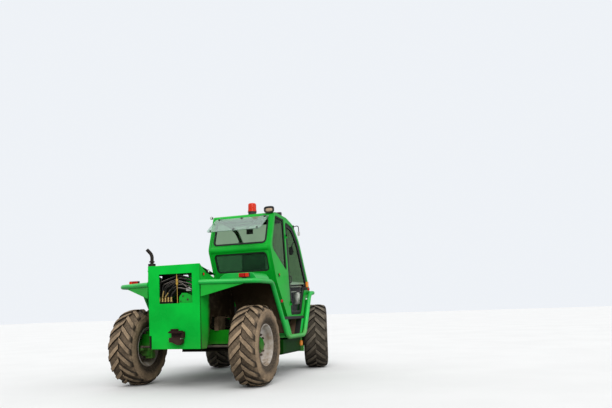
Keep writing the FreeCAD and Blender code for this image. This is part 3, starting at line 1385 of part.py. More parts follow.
barrel_end = reach - 150
ring, hole = eye(0)
case = ring.fuse(on_axis(d.ram_radius.value, 30, barrel_end)).cut(hole)
rod_bore = on_axis(d.ram_rod_radius.value + d.run_gap.value * 4, 120, barrel_end + 1)
node("lift_barrel", set_ram(case.cut(rod_bore)))
ring, hole = eye(reach)
node("lift_rod", set_ram(ring.fuse(on_axis(d.ram_rod_radius.value, 130, reach - 30))))

# Hoses that arch across the service opening, from a valve block to the frame's right plate.
valve_ys = (30, inner_half - 40)
hose_x = aft(-d.hose_depth)
valve_xs = (hose_x - 14, hose_x + 14)
node("valve_block", fuse(
    block(valve_xs, valve_ys, (d.valve_high - 90, d.valve_high)),
    block(valve_xs, (valve_ys[1] - 5, inner_half - d.seat_gap), (d.valve_high - 70, d.valve_high - 20)),
))
hose_table = [
    # start y, crest y, crest z, how far ahead of its start it ends, end z
    (62, -40, 1330, 60, 1225),
    (108, -70, 1374, 96, 1268),
    (154, -40, 1418, 60, 1312),
    (200, -70, 1458, 96, 1356),
    (246, -50, 1496, 72, 1400),
]
hoses = []
for start_y, crest_y, crest_z, ahead, end_z in hose_table:
    route = [
        Vector(0, start_y, d.valve_high.value + 0.3),
        Vector(0, start_y, crest_z - 90),
        Vector(0, crest_y, crest_z),
        Vector(ahead, -190, crest_z - 40),
        Vector(ahead, -290, end_z),
        Vector(ahead, 0.3 - inner_half.value, end_z),
    ]
    route = [Vector(hose_x.value, 0, 0) + spot for spot in route]
    hoses.append(shape_node(tube(route, d.hose_radius.value, 60)))
node("tail_hoses", group(*hoses))

# Seat, controls and lamps.
seat_mid = (d.cab_left + d.cab_right) / 2
seat_x = aft(d.cab_heel_x) - 60
cushion = block((seat_x, seat_x + 430), (seat_mid - 220, seat_mid + 220), (1290, 1400))
backrest = block((seat_x - 110, seat_x + 10), (seat_mid - 210, seat_mid + 210), (1340, 1880))
pillar = block((seat_x + 110, seat_x + 350), (seat_mid - 130, seat_mid + 130), (floor_top + d.seat_gap, 1295))
node("seat", fuse(cushion, backrest, pillar))
column = rod(46, (aft(d.cab_toe_x) - 60, seat_mid, floor_top + d.seat_gap), 430)
wheel_ring = fresh("Part::Torus", "ring")
bind(wheel_ring, "Radius1", 170)
bind(wheel_ring, "Radius2", 15)
place(wheel_ring, aft(d.cab_toe_x) - 100, seat_mid, floor_top + 440, angle=-28, axis=Vector(0, 1, 0))
spoke = place(group(block((-168, 168), (-24, 24), (-9, 9))), aft(d.cab_toe_x) - 100, seat_mid,
              floor_top + 440, angle=-28, axis=Vector(0, 1, 0))
node("steering_column", fuse(column, wheel_ring, spoke))
lamp_x = aft(d.rail_corner_x) + 10
tail_lamps = [
    fuse(
        block((lamp_x, lamp_x + 50), (y, y + 152), (z - 30, z + 30)),
        block((lamp_x + 12, lamp_x + 42), (y + 40, y + 112), (guard_top + d.seat_gap, z - 20)),
    )
    for y, z in ((d.lamp_left_y, d.lamp_high - 32), (d.lamp_right_y, d.lamp_high))
]
node("tail_lamps", group(*tail_lamps))
cover_top = guard_top + d.cover_tall
node("guard_cover", plate("end", aft(d.cover_rear_x), aft(d.cover_front_x), [
    (-d.cover_out, guard_top + d.seat_gap), (-d.cover_in, guard_top + d.seat_gap),
    (-d.cover_in - 70, cover_top), (60 - d.cover_out, cover_top),
], rounds={2: 160, 3: 90}))
work_y = d.cab_right + 72
work_lamp = block((aft(d.cab_roof_rear_x) - 30, aft(d.cab_roof_rear_x) + 40), (work_y - 75, work_y + 75),
                  (d.cab_top - roof_fall * 40 + d.seat_gap, d.cab_top + 100))
front_lamps = [
    block((aft(d.cab_roof_front_x) - 60, aft(d.cab_roof_front_x)), (y, y + 130),
          (crown + roof_proud + 5 + d.seat_gap, crown + 92))
    for y in (d.cab_right + 60, d.cab_left - 190)
]
node("work_lamps", group(work_lamp, *front_lamps))
beacon_x, beacon_y = aft(d.cab_roof_rear_x) + 100, seat_mid - 105
roof_top = roof_line(roof_xs[0], roof_proud)[1] + d.seat_gap
lens = fresh("Part::Cone", "cone")
bind(lens, "Radius1", d.beacon_radius)
bind(lens, "Radius2", d.beacon_radius - 9)
bind(lens, "Height", d.beacon_tall)
place(lens, beacon_x, beacon_y, d.cab_top + 44)
node("beacon", fuse(rod(d.beacon_radius - 10, (beacon_x, beacon_y, roof_top), 43), lens))

doc.recompute()
os.makedirs("parts", exist_ok=True)
for item in doc.Objects:
    if "Invalid" in item.State or "Error" in item.State:
        raise SystemExit("failed: %s %s" % (item.Name, item.State))
for item in NODES:
    if item.Shape.isNull() or not item.Shape.isValid() or not item.Shape.Solids:
        raise SystemExit("bad shape: " + item.Label)
for item in NODES:
    item.Shape.exportStep("parts/%s.step" % item.Label)
print(len(NODES), "nodes written")
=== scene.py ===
"""A farm tractor with a telescopic boom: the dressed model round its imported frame.

Lengths are in metres, +X is forward, +Y is left and Z is up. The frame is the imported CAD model,
and every piece made here sits on it and moves with one of its bodies.
"""
import json
import math

import bmesh
import bpy
from mathutils import Matrix, Vector

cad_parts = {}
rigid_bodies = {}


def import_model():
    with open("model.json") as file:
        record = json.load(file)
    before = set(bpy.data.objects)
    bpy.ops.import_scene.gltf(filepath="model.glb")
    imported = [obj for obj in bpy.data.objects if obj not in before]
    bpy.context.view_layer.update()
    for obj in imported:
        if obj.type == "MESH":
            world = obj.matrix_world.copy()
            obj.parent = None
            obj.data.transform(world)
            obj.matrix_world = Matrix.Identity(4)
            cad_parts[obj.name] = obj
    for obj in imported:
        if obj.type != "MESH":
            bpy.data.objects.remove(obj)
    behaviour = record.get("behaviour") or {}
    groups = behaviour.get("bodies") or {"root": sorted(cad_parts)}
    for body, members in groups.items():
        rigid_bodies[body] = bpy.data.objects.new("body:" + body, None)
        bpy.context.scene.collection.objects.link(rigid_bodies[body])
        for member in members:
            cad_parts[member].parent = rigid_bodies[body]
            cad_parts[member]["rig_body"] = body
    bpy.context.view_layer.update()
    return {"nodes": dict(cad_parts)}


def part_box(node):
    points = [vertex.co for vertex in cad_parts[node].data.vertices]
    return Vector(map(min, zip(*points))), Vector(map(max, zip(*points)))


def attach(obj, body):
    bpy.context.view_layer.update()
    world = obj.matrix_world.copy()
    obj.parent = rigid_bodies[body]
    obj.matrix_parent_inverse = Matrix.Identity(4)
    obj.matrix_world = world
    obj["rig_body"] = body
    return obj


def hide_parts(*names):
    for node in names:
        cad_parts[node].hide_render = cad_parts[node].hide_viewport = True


bl_info = {
    "name": "Boom tractor",
    "version": (1, 0, 0),
    "blender": (4, 5, 0),
    "location": "3D view > Sidebar > Tractor",
    "description": "Dresses the packed frame of a farm tractor with a telescopic boom",
    "category": "Object",
}

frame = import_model()
NODES = frame["nodes"]

REAR_AXLE = -1.4585
FRONT_AXLE = 1.0415
WHEEL_HIGH = 0.535
KINGPIN_Y = 0.775
KINGPIN_INSET = 0.15
STEER = {"rear": math.radians(3), "front": math.radians(18)}
SIDES = {"left": 1, "right": -1}
WHEELS = [(end, hand) for end in ("rear", "front") for hand in ("left", "right")]
CAB_LEFT = 0.0
CAB_RIGHT = -1.02
FRAME_HALF = 0.4
PLATE_IN = FRAME_HALF - 0.016
GUARD_TOP = 1.402


def aft(distance):
    """A place so far ahead of the rear axle."""
    return REAR_AXLE + distance


def tint(name, description, default):
    """A colour that a user may set."""
    return bpy.props.FloatVectorProperty(
        name=name, description=description, subtype="COLOR", default=default, min=0, max=1)


def measure(name, description, default, unit="LENGTH"):
    """A length, angle or plain number that a user may set."""
    return bpy.props.FloatProperty(name=name, description=description, default=default, unit=unit)


def tally(name, description, default, least, most):
    """A number of copies that a user may set."""
    return bpy.props.IntProperty(name=name, description=description, default=default, min=least, max=most)


class TractorPaint(bpy.types.PropertyGroup):
    """Colours of the paint, rubber, glass and dust."""

    green: tint("Green", "Main paint of the body", (0.0006, 0.4, 0.026))
    # Lighter than the body green: partly the paint and its dust, partly a painted highlight on the tops of
    # the rails, step and cover.
    highlit_green: tint("Light green", "Paint of the rails, step and cover", (0.006, 0.47, 0.06))
    axle_green: tint("Axle green", "Dull paint under the dust of the axles", (0.003, 0.2, 0.004))
    dust: tint("Dust", "Dry road dust", (0.27, 0.192, 0.12))
    mud: tint("Mud", "Dark dried mud under the mudguards", (0.022, 0.013, 0.005))
    rubber: tint("Rubber", "Tyre rubber under its dust", (0.03, 0.024, 0.018))
    rim: tint("Rim", "Silver paint of the wheels", (0.68, 0.65, 0.6))
    black: tint("Black", "Black paint and plastic", (0.012, 0.012, 0.012))
    glass: tint("Glass", "Tint of the cab glass", (0.26, 0.37, 0.24))
    pale_glass: tint("Pale glass", "Tint of the rear hatch glass", (0.5, 0.68, 0.57))
    # Darker and partly opaque: the pane's tint together with painted shade of the dark cab behind it.
    shaded_glass: tint("Dark glass", "Tint of the lower rear pane", (0.1, 0.24, 0.14))
    red: tint("Red lens", "Tail lamps", (0.42, 0.001, 0.001))
    orange: tint("Orange lens", "Beacon and indicators", (0.62, 0.022, 0.001))
    brass: tint("Brass", "Hose ferrules", (0.62, 0.43, 0.16))


class TractorTyres(bpy.types.PropertyGroup):
    """Sizes of the tyres and wheels."""

    radius: measure("Radius", "To the tips of the lugs", 0.534)
    lug_width: measure("Lug width", "Width of a lug along the tyre", 0.0615)
    lug_sweep: measure("Lug sweep", "How far a lug turns back to the shoulder", 0.36, "ROTATION")
    lug_count: tally("Lugs", "Lugs on each half of a tyre", 18, 6, 40)
    nut_count: tally("Wheel nuts", "Nuts on each wheel", 10, 4, 20)
    nut_circle: measure("Nut circle", "Radius that the wheel nuts stand on", 0.138)


class TractorBody(bpy.types.PropertyGroup):
    """Sizes of the seals and the hood's slats."""

    seal: measure("Seal", "Width of the rubber seal round a pane", 0.022)
    seal_proud: measure("Seal height", "How far a seal stands off its pane", 0.011)
    slat_count: tally("Hood slats", "Cooling slats in the side of the hood", 14, 2, 40)


class TractorStage(bpy.types.PropertyGroup):
    """Camera, floor and light."""

    lens: measure("Lens", "Focal length on a 36 mm wide sensor, in millimetres", 34.39, "NONE")
    stand: bpy.props.FloatVectorProperty(
        name="Stand", description="Where the camera stands", subtype="TRANSLATION",
        default=(-8.84833, -4.37211, 0.98696))
    heading: measure("Heading", "Turned left from straight ahead", 0.34404, "ROTATION")
    tilt: measure("Tilt", "Turned up from level", 0.178287, "ROTATION")
    roll: measure("Roll", "Turned about its own line of sight", -0.03299, "ROTATION")
    floor: tint("Floor", "Colour of the floor", (0.78, 0.775, 0.76))
    sky: tint("Sky", "Colour of the backdrop", (0.86, 0.89, 0.93))


def slot_name(label):
    """A socket's name from a keyword."""
    return label.replace("_", " ")


class Wires:
    """Adds nodes to a node tree and joins them up."""

    def __init__(self, tree):
        self.tree = tree

    def feed(self, socket, value):
        """Joins an output to a socket, or sets the socket to a plain value."""
        if isinstance(value, bpy.types.NodeSocket):
            self.tree.links.new(value, socket)
        else:
            socket.default_value = value

    def lead(self, sockets, **outputs):
        """Joins outputs to the sockets that their keywords name."""
        for label, output in outputs.items():
            self.tree.links.new(output, sockets[slot_name(label)])

    def add(self, kind, feeds=None, **settings):
        """A new node, its settings made and its inputs fed with values or other nodes' outputs."""
        node = self.tree.nodes.new(kind)
        for word, value in settings.items():
            setattr(node, word, value)
        for socket, value in (feeds or {}).items():
            self.feed(node.inputs[socket], value)
        return node

    def here(self):
        """The place on the piece."""
        return self.add("ShaderNodeTexCoord").outputs["Object"]

    def along(self, vector, axis="Z"):
        """One part of a vector."""
        return self.add("ShaderNodeSeparateXYZ", {0: vector}).outputs[axis]

    def normal(self):
        """The way that the surface faces."""
        return self.add("ShaderNodeNewGeometry").outputs["Normal"]

    def math(self, operation, first, second=0.0, clamp=False):
        node = self.add("ShaderNodeMath", {0: first, 1: second}, operation=operation, use_clamp=clamp)
        return node.outputs[0]

    def blend(self, share, first, second):
        """A colour mixed from two by a share."""
        node = self.add("ShaderNodeMix", data_type="RGBA")
        for socket, value in zip((node.inputs[0], node.inputs[6], node.inputs[7]), (share, first, second)):
            self.feed(socket, value)
        return node.outputs[2]

    def span(self, value, low, high, to_low=0.0, to_high=1.0):
        """A value stretched smoothly from one range to another, and held inside it."""
        node = self.add("ShaderNodeMapRange", {
            "Value": value, "From Min": low, "From Max": high, "To Min": to_low, "To Max": to_high,
        }, interpolation_type="SMOOTHSTEP")
        return node.outputs["Result"]

    def noise(self, where, scale, detail=4.0, roughness=0.55):
        node = self.add("ShaderNodeTexNoise", {
            "Vector": where, "Scale": scale, "Detail": detail, "Roughness": roughness,
        })
        return node.outputs[0]

    def bump(self, height, strength, distance):
        """A normal from a height."""
        feeds = {"Height": height, "Strength": strength, "Distance": distance}
        return self.add("ShaderNodeBump", feeds).outputs[0]

    def stripes(self, where, scale, axis):
        """Waves in bands across an axis."""
        feeds = {"Vector": where, "Scale": scale}
        return self.add("ShaderNodeTexWave", feeds, bands_direction=axis).outputs["Fac"]


def new_group(name, given, made, kind):
    """A shader node group with named inputs and one output, its wires and its two ends."""
    tree = bpy.data.node_groups.new(name, "ShaderNodeTree")
    for label, value in given.items():
        socket = tree.interface.new_socket(label, in_out="INPUT", socket_type="NodeSocketFloat")
        socket.default_value = value
    tree.interface.new_socket(made, in_out="OUTPUT", socket_type=kind)
    wires = Wires(tree)
    return tree, wires, wires.add("NodeGroupInput").outputs, wires.add("NodeGroupOutput").inputs


def dust_group():
    """Dust that settles low down, on what faces up, and in streaks and patches."""
    tree, w, given, out = new_group("Settled dust", {
        "Amount": 0.6, "Low": 0.3, "High": 1.3, "Patch size": 5.0, "Floor": 0.05,
    }, "Mask", "NodeSocketFloat")
    here = w.here()
    low_down = w.span(w.along(here), given["High"], given["Low"])
    upward = w.span(w.along(w.normal()), 0.3, 1.0, 0.0, 0.25)
    patches = w.noise(here, given["Patch size"], 6.0, 0.62)
    stretched = w.add("ShaderNodeMapping", {"Vector": here, "Scale": (14.0, 14.0, 1.3)}).outputs[0]
    streaks = w.span(w.noise(stretched, 1.0, 3.0), 0.45, 0.75, 0.0, 0.35)
    cover = w.math("ADD", w.math("ADD", low_down, upward), w.math("MULTIPLY", streaks, low_down))
    cover = w.math("MULTIPLY", cover, w.span(patches, 0.3, 0.7, 0.25, 1.1))
    cover = w.math("ADD", cover, given["Floor"])
    w.lead(out, Mask=w.math("MULTIPLY", cover, given["Amount"], clamp=True))
    return tree


def wear_group():
    """Paint rubbed through along edges, in broken patches."""
    tree, w, given, out = new_group("Rubbed edges", {
        "Amount": 0.5, "Width": 0.008, "Patch size": 30.0,
    }, "Mask", "NodeSocketFloat")
    here = w.here()
    rounded_normal = w.add("ShaderNodeBevel", {"Radius": given["Width"]}, samples=4).outputs[0]
    aligned = w.add("ShaderNodeVectorMath", {0: rounded_normal, 1: w.normal()}, operation="DOT_PRODUCT")
    rubbed = w.span(aligned.outputs["Value"], 0.985, 0.86)
    broken = w.span(w.noise(here, given["Patch size"], 5.0, 0.7), 0.42, 0.62)
    w.lead(out, Mask=w.math("MULTIPLY", w.math("MULTIPLY", rubbed, broken), given["Amount"], clamp=True))
    return tree


def grain_group():
    """Fine relief: orange peel in paint, moulded grain in plastic and rubber."""
    tree, w, given, out = new_group("Surface grain", {
        "Scale": 200.0, "Strength": 0.1, "Distance": 0.0005,
    }, "Normal", "NodeSocketVector")
    fine = w.noise(w.here(), given["Scale"], 3.0, 0.6)
    w.lead(out, Normal=w.bump(fine, given["Strength"], given["Distance"]))
    return tree


MAKERS = {"Settled dust": dust_group, "Rubbed edges": wear_group, "Surface grain": grain_group}
GROUPS = {}


def effect(wires, name, **values):
    """The output of one of the shared shader groups, placed in a material with its own values."""
    if name not in GROUPS:
        GROUPS[name] = MAKERS[name]()
    node = wires.add("ShaderNodeGroup", node_tree=GROUPS[name])
    for label, value in values.items():
        node.inputs[slot_name(label)].default_value = value
    return node.outputs[0]


def new_finish(name, **sockets):
    """A material with a Principled shader whose plain sockets are set, its wires and its shader."""
    material = bpy.data.materials.new(name)
    material.use_nodes = True
    shader = material.node_tree.nodes["Principled BSDF"]
    for label, value in sockets.items():
        shader.inputs[slot_name(label)].default_value = value
    return material, Wires(material.node_tree), shader.inputs


def rgba(colour, factor=1.0):
    """A colour made lighter or darker, and held to white."""
    return tuple(min(1.0, part * factor) for part in colour[:3]) + (1.0,)


def painted(name, colour, dust=0.6, low=0.35, high=1.25, wear=0.5, gloss=0.32, worn=(0.02, 0.018, 0.015),
            floor=0.02, coat=0.1, patch=5.0, dust_colour=None, sheen=0.2, mud_and_shadow_splash=None):
    """Sprayed paint with uneven fading, settled dust and rubbed edges.

    The muddy band gives where the mud of a wheel, darkened further as a painted shadow of its mudguard,
    begins and is full along X, and its top.
    """
    paint = bpy.context.scene.tractor_paint
    material, w, shader = new_finish(name, Coat_Weight=coat, Coat_Roughness=0.15, Specular_IOR_Level=sheen)
    here = w.here()
    fade = w.span(w.noise(here, 1.7, 5.0, 0.6), 0.3, 0.7)
    dusty = effect(w, "Settled dust", Amount=dust, Low=low, High=high, Patch_size=patch, Floor=floor)
    base = w.blend(fade, rgba(colour, 0.82), rgba(colour, 1.16))
    base = w.blend(dusty, base, rgba(dust_colour or paint.dust))
    base = w.blend(effect(w, "Rubbed edges", Amount=wear), base, rgba(worn))
    if mud_and_shadow_splash:
        start, full, top = mud_and_shadow_splash
        ragged = w.math("MULTIPLY", w.math("SUBTRACT", w.noise(here, 11.0, 6.0, 0.7), 0.5), 0.07)
        mud = w.span(w.math("ADD", w.along(here, "X"), ragged), start, full)
        mud = w.math("MULTIPLY", mud, w.span(w.math("ADD", w.along(here), ragged), top, top - 0.06))
        clods = w.span(w.noise(here, 14.0, 6.0, 0.7), 0.45, 0.75)
        # Dark mud on the frame under the mudguard, which also paints the mudguard's shadow.
        base = w.blend(mud, base, w.blend(clods, rgba(paint.mud, 0.6), rgba(paint.dust, 0.28)))
    rough = w.math("ADD", w.math("MULTIPLY", dusty, 0.5), w.span(fade, 0, 1, gloss - 0.05, gloss + 0.1),
                   clamp=True)
    w.lead(shader, Base_Color=base, Roughness=rough, Normal=effect(w, "Surface grain", Scale=160.0,
                                                                   Strength=0.12))
    return material


def moulded(name, colour, rough=0.55, dust=0.25, scale=500.0, strength=0.2):
    """Moulded plastic or rubber with a fine grain and some dust."""
    paint = bpy.context.scene.tractor_paint
    material, w, shader = new_finish(name)
    cloud = w.noise(w.here(), 9.0, 5.0)
    base = w.blend(w.span(cloud, 0.3, 0.7), rgba(colour, 0.75), rgba(colour, 1.3))
    dusty = effect(w, "Settled dust", Amount=dust, Low=0.4, High=1.6, Floor=0.05)
    w.lead(shader, Base_Color=w.blend(dusty, base, rgba(paint.dust)),
           Roughness=w.span(cloud, 0.2, 0.8, rough - 0.08, rough + 0.1),
           Normal=effect(w, "Surface grain", Scale=scale, Strength=strength))
    return material


def dusty_highlit_top(name, colour, dust):
    """Black rubber whose upper side holds a pale film of dust, which also stands for a painted highlight from
    above.
    """
    material, w, shader = new_finish(name, Specular_IOR_Level=0.4, Roughness=0.4)
    patches = w.span(w.noise(w.here(), 22.0, 5.0), 0.25, 0.55, 0.35, 1.0)
    # Paler on what faces up: dust, and a painted highlight.
    film = w.math("MULTIPLY", w.span(w.along(w.normal()), 0.25, 0.8), patches)
    w.lead(shader, Base_Color=w.blend(film, rgba(colour), rgba(dust)),
           Normal=effect(w, "Surface grain", Scale=900.0, Strength=0.2))
    return material


def metal(name, colour, rough=0.3, dust=0.1, stretch=(1.0, 1.0, 1.0)):
    """Bare or plated metal with handling marks."""
    paint = bpy.context.scene.tractor_paint
    material, w, shader = new_finish(name)
    stretched = w.add("ShaderNodeMapping", {"Vector": w.here(), "Scale": stretch}).outputs[0]
    marks = w.noise(stretched, 40.0, 6.0, 0.65)
    dusty = effect(w, "Settled dust", Amount=dust, Low=0.3, High=1.6)
    base = w.blend(w.span(marks, 0.3, 0.7), rgba(colour, 0.8), rgba(colour, 1.1))
    w.lead(shader, Base_Color=w.blend(dusty, base, rgba(paint.dust)),
           Metallic=w.math("SUBTRACT", 1.0, dusty, clamp=True),
           Roughness=w.span(marks, 0.2, 0.8, rough - 0.1, rough + 0.15),
           Normal=effect(w, "Surface grain", Scale=300.0, Strength=0.15))
    return material


# Radii of a tyre between which its finish turns to the next: shoulder, tread and the lugs' tops.
SHOULDER_FROM = (0.33, 0.42)
SHOULDER_TO = (0.5, 0.47)
TREAD_FROM = (0.462, 0.485)
TOPS_FROM = (0.508, 0.524)


def tyre_rubber(name, dust, amount=1.0):
    """Tread rubber under dust: pale on shoulders and, as dust and a painted highlight, on lug edges; painted
    shade on the lug flanks; dark by the bead.
    """
    rubber = bpy.context.scene.tractor_paint.rubber
    material, w, shader = new_finish(name, Specular_IOR_Level=0.2)
    coords = w.add("ShaderNodeTexCoord").outputs
    reach = w.add("ShaderNodeAttribute", attribute_name="tyre_reach").outputs["Fac"]
    out = w.add("ShaderNodeAttribute", attribute_name="tyre_out").outputs["Vector"]
    facing = w.add("ShaderNodeVectorMath", {0: coords["Normal"], 1: out}, operation="DOT_PRODUCT")
    patches = w.noise(coords["Object"], 6.0, 7.0, 0.68)
    fine = w.noise(coords["Object"], 55.0, 5.0, 0.7)
    tread = w.span(reach, *TREAD_FROM)
    proud = w.span(reach, *TOPS_FROM)
    shoulder = w.math("MULTIPLY", w.span(reach, *SHOULDER_FROM), w.span(reach, *SHOULDER_TO, 0.0, 0.62))
    share = w.math("ADD", w.math("MULTIPLY", tread, 0.2), w.math("MULTIPLY", proud, 0.5))
    share = w.math("ADD", share, w.math("ADD", shoulder, 0.14))
    share = w.math("MULTIPLY", share, w.span(patches, 0.28, 0.7, 0.6 * amount, 1.3 * amount))
    share = w.math("ADD", share, w.span(fine, 0.35, 0.7, -0.14, 0.16), clamp=True)
    base = w.blend(share, rgba(rubber), rgba(dust, 1.35))
    # Painted shade: the flanks of the lugs darkened as if in shadow between the lugs.
    flank_shade = w.math("MULTIPLY", w.span(facing.outputs["Value"], 0.88, 0.5), tread)
    base = w.blend(w.math("MULTIPLY", flank_shade, 0.88), base, rgba(rubber, 0.4))
    # Lug edges made pale with brightened dust: dust, and a painted highlight along the edges.
    worn = effect(w, "Rubbed edges", Amount=1.0, Width=0.016, Patch_size=12.0)
    base = w.blend(w.math("MULTIPLY", worn, proud), base, rgba(dust, 2.2))
    w.lead(shader, Base_Color=base, Roughness=w.span(patches, 0.2, 0.8, 0.7, 0.92),
           Normal=w.bump(fine, 0.45, 0.004))
    return material


def cab_glass(name, colour, clear_below=None, gloss=1.12, clear=1.0):
    """Tinted safety glass with a film of dust that dulls it in patches, clear below a height."""
    material, w, shader = new_finish(name, IOR=gloss, Transmission_Weight=clear)
    here = w.here()
    film = w.noise(here, 3.0, 6.0, 0.7)
    base = w.blend(w.span(film, 0.3, 0.75), rgba(colour), rgba(colour, 0.88))
    if clear_below:
        above = w.span(w.along(here), clear_below, clear_below + 0.02)
        base = w.blend(above, (0.97, 0.98, 0.97, 1), base)
    w.lead(shader, Base_Color=base, Roughness=w.span(film, 0.45, 0.8, 0.01, 0.12))
    return material


def lens(name, colour, glow=0.0):
    """A moulded lamp lens with ribs inside."""
    material, w, shader = new_finish(name, Specular_IOR_Level=0.3, IOR=1.49, Emission_Strength=glow)
    here = w.here()
    ribs = w.stripes(here, 38.0, "Z")
    base = w.blend(ribs, rgba(colour, 0.8), rgba(colour, 1.25))
    w.lead(shader, Base_Color=base, Emission_Color=base,
           Roughness=w.span(w.noise(here, 20.0), 0.3, 0.7, 0.12, 0.3), Normal=w.bump(ribs, 0.3, 0.002))
    return material


def woven():
    """Black seat cloth: a fine crossed weave with a soft sheen."""
    material, w, shader = new_finish("Seat cloth", Sheen_Weight=0.35, Sheen_Roughness=0.5)
    here = w.here()
    weave = w.math("MULTIPLY", w.stripes(here, 160.0, "Y"), w.stripes(here, 160.0, "X"))
    cloud = w.noise(here, 12.0, 4.0)
    base = w.blend(weave, (0.012, 0.012, 0.013, 1), (0.055, 0.055, 0.058, 1))
    w.lead(shader, Base_Color=w.blend(w.span(cloud, 0.5, 0.8, 0, 0.3), base, (0.16, 0.13, 0.1, 1)),
           Roughness=w.span(cloud, 0.3, 0.7, 0.8, 0.95), Normal=w.bump(weave, 0.5, 0.001))
    return material


def make_finishes():
    """Every material of the tractor, by a short name."""
    paint = bpy.context.scene.tractor_paint
    return {
        "green": painted("Green paint", paint.green, dust=0.35, low=0.4, high=0.95, wear=0.45),
        "frame": painted("Frame paint", paint.green, dust=0.3, low=0.4, high=0.95, wear=0.4,
                         mud_and_shadow_splash=(aft(-0.37), aft(-0.29), 1.375)),
        "tank": painted("Tank paint", (0.001, 0.045, 0.002), dust=0.1, low=0.3, high=0.8, wear=0.4,
                        patch=9.0, sheen=0.05, coat=0.0, dust_colour=(0.06, 0.04, 0.02)),
        # A brighter copy of the green paint, with little dust and sheen: painted light on the tail plate,
        # which faces the light.
        "tail": painted("Tail plate paint with painted light", (0.0002, 0.52, 0.042), dust=0.05, low=0.4, high=0.8, wear=0.3,
                        sheen=0.1, coat=0.0),
        # Paler green that also stands for a painted highlight on the rails' and cover's tops.
        "light": painted("Highlit green paint", paint.highlit_green, dust=0.35, low=0.45, high=0.9, wear=0.6,
                         sheen=0.35),
        "step": painted("Step paint", paint.highlit_green, dust=0.6, low=0.5, high=0.7, wear=0.8, patch=9.0),
        "axle": painted("Axle paint", paint.axle_green, dust=0.42, low=0.45, high=0.62, wear=0.4, gloss=0.5,
                        coat=0.0, patch=9.0, sheen=0.1),
        "under": painted("Muddy underside", paint.mud, dust=0.5, low=0.7, high=1.35, wear=0.0, gloss=0.85,
                         coat=0.0, patch=8.0, sheen=0.08),
        # Near-black oil and grime that is also painted shade: it darkens the insides of the frame, tail
        # plate, tower and boom, where shade falls.
        "grime": painted("Oily inside with painted shade", (0.006, 0.008, 0.004), dust=0.12, low=0.5, high=1.3, wear=0.0,
                         gloss=0.6, coat=0.0, patch=8.0, sheen=0.15),
        # Dark brown dust over the rim, which also stands for painted shade in the dish.
        "rim": painted("Rim paint", paint.rim, dust=0.68, low=0.3, high=1.5, wear=0.3, gloss=0.4, patch=7.0,
                       floor=0.0, worn=(0.12, 0.08, 0.05), dust_colour=(0.2, 0.125, 0.06)),
        "black": painted("Black paint", paint.black, dust=0.5, low=0.4, high=1.4, wear=0.5, gloss=0.4,
                         worn=(0.16, 0.13, 0.1)),
        "rusty": painted("Rusty black", (0.018, 0.006, 0.005), dust=0.15, low=0.4, high=0.9, wear=0.7,
                         gloss=0.55, worn=(0.12, 0.035, 0.02), coat=0.0, sheen=0.15),
        "door": painted("Door frame paint", (0.006, 0.006, 0.006), dust=0.03, low=0.6, high=1.4, wear=0.3,
                        gloss=0.35, sheen=0.1, coat=0.0),
        "plastic": moulded("Black plastic", paint.black, rough=0.5, dust=0.2),
        "rubber": moulded("Black rubber", (0.018, 0.018, 0.018), rough=0.7, dust=0.3, scale=250.0),
        "hose": dusty_highlit_top("Hose rubber with painted highlight", (0.008, 0.007, 0.006), (0.42, 0.35, 0.3)),
        # Near-black lining, made darker to stand also for the shade inside the cab.
        "lining": moulded("Cab lining with painted shade", (0.011, 0.011, 0.011), rough=0.8, dust=0.03),
        "seal": moulded("Window seal", (0.006, 0.006, 0.006), rough=0.6, dust=0.03, scale=250.0),
        "pale": moulded("Pale plastic", (0.55, 0.55, 0.5), rough=0.45, dust=0.2),
        "strap": moulded("Yellow strap", (0.5, 0.3, 0.04), rough=0.75, dust=0.3, scale=700.0, strength=0.4),
        "tyre": tyre_rubber("Tyre rubber", paint.dust),
        "front_tyre": tyre_rubber("Front tyre rubber", (0.15, 0.125, 0.092), 0.82),
        "steel": metal("Dull steel", (0.42, 0.4, 0.37), rough=0.42, dust=0.5),
        "chrome": metal("Hard chrome", (0.8, 0.8, 0.8), rough=0.12, dust=0.05, stretch=(1.0, 8.0, 8.0)),
        "brass": metal("Brass", paint.brass, rough=0.35, dust=0.1),
        "iron": metal("Oily iron", (0.12, 0.11, 0.1), rough=0.5, dust=0.5),
        "pipe": painted("Burnt pipe", (0.02, 0.014, 0.012), dust=0.2, low=1.0, high=1.8, wear=0.6, gloss=0.6,
                        worn=(0.14, 0.06, 0.03), coat=0.0),
        "glass": cab_glass("Cab glass", paint.glass),
        "door_glass": cab_glass("Door glass", paint.glass, clear_below=1.41, gloss=1.06),
        "pale_glass": cab_glass("Hatch glass", paint.pale_glass, gloss=1.45, clear=0.76),
        "shaded_glass": cab_glass("Lower rear glass with painted shade", paint.shaded_glass, gloss=1.25, clear=0.82),
        "red": lens("Red lens", paint.red, 0.05),
        "orange": lens("Orange lens", paint.orange, 0.08),
        "clear": lens("Clear lens", (0.75, 0.75, 0.7)),
        "warm": lens("Work lamp lens", (0.5, 0.36, 0.24)),
        "amber": lens("Amber lens", (0.8, 0.26, 0.03), 0.05),
        "mat": moulded("Muddy mat", (0.16, 0.075, 0.045), rough=0.85, dust=0.4, scale=120.0, strength=0.4),
        "cloth": woven(),
    }


FINISH = {}


def circle(point, turn, radius, sides):
    """Points round a centre, square to the Z axis of a turn."""
    angles = [math.tau * i / sides for i in range(sides)]
    return [point + turn @ Vector((math.cos(angle) * radius, math.sin(angle) * radius,
                                   0)) for angle in angles]


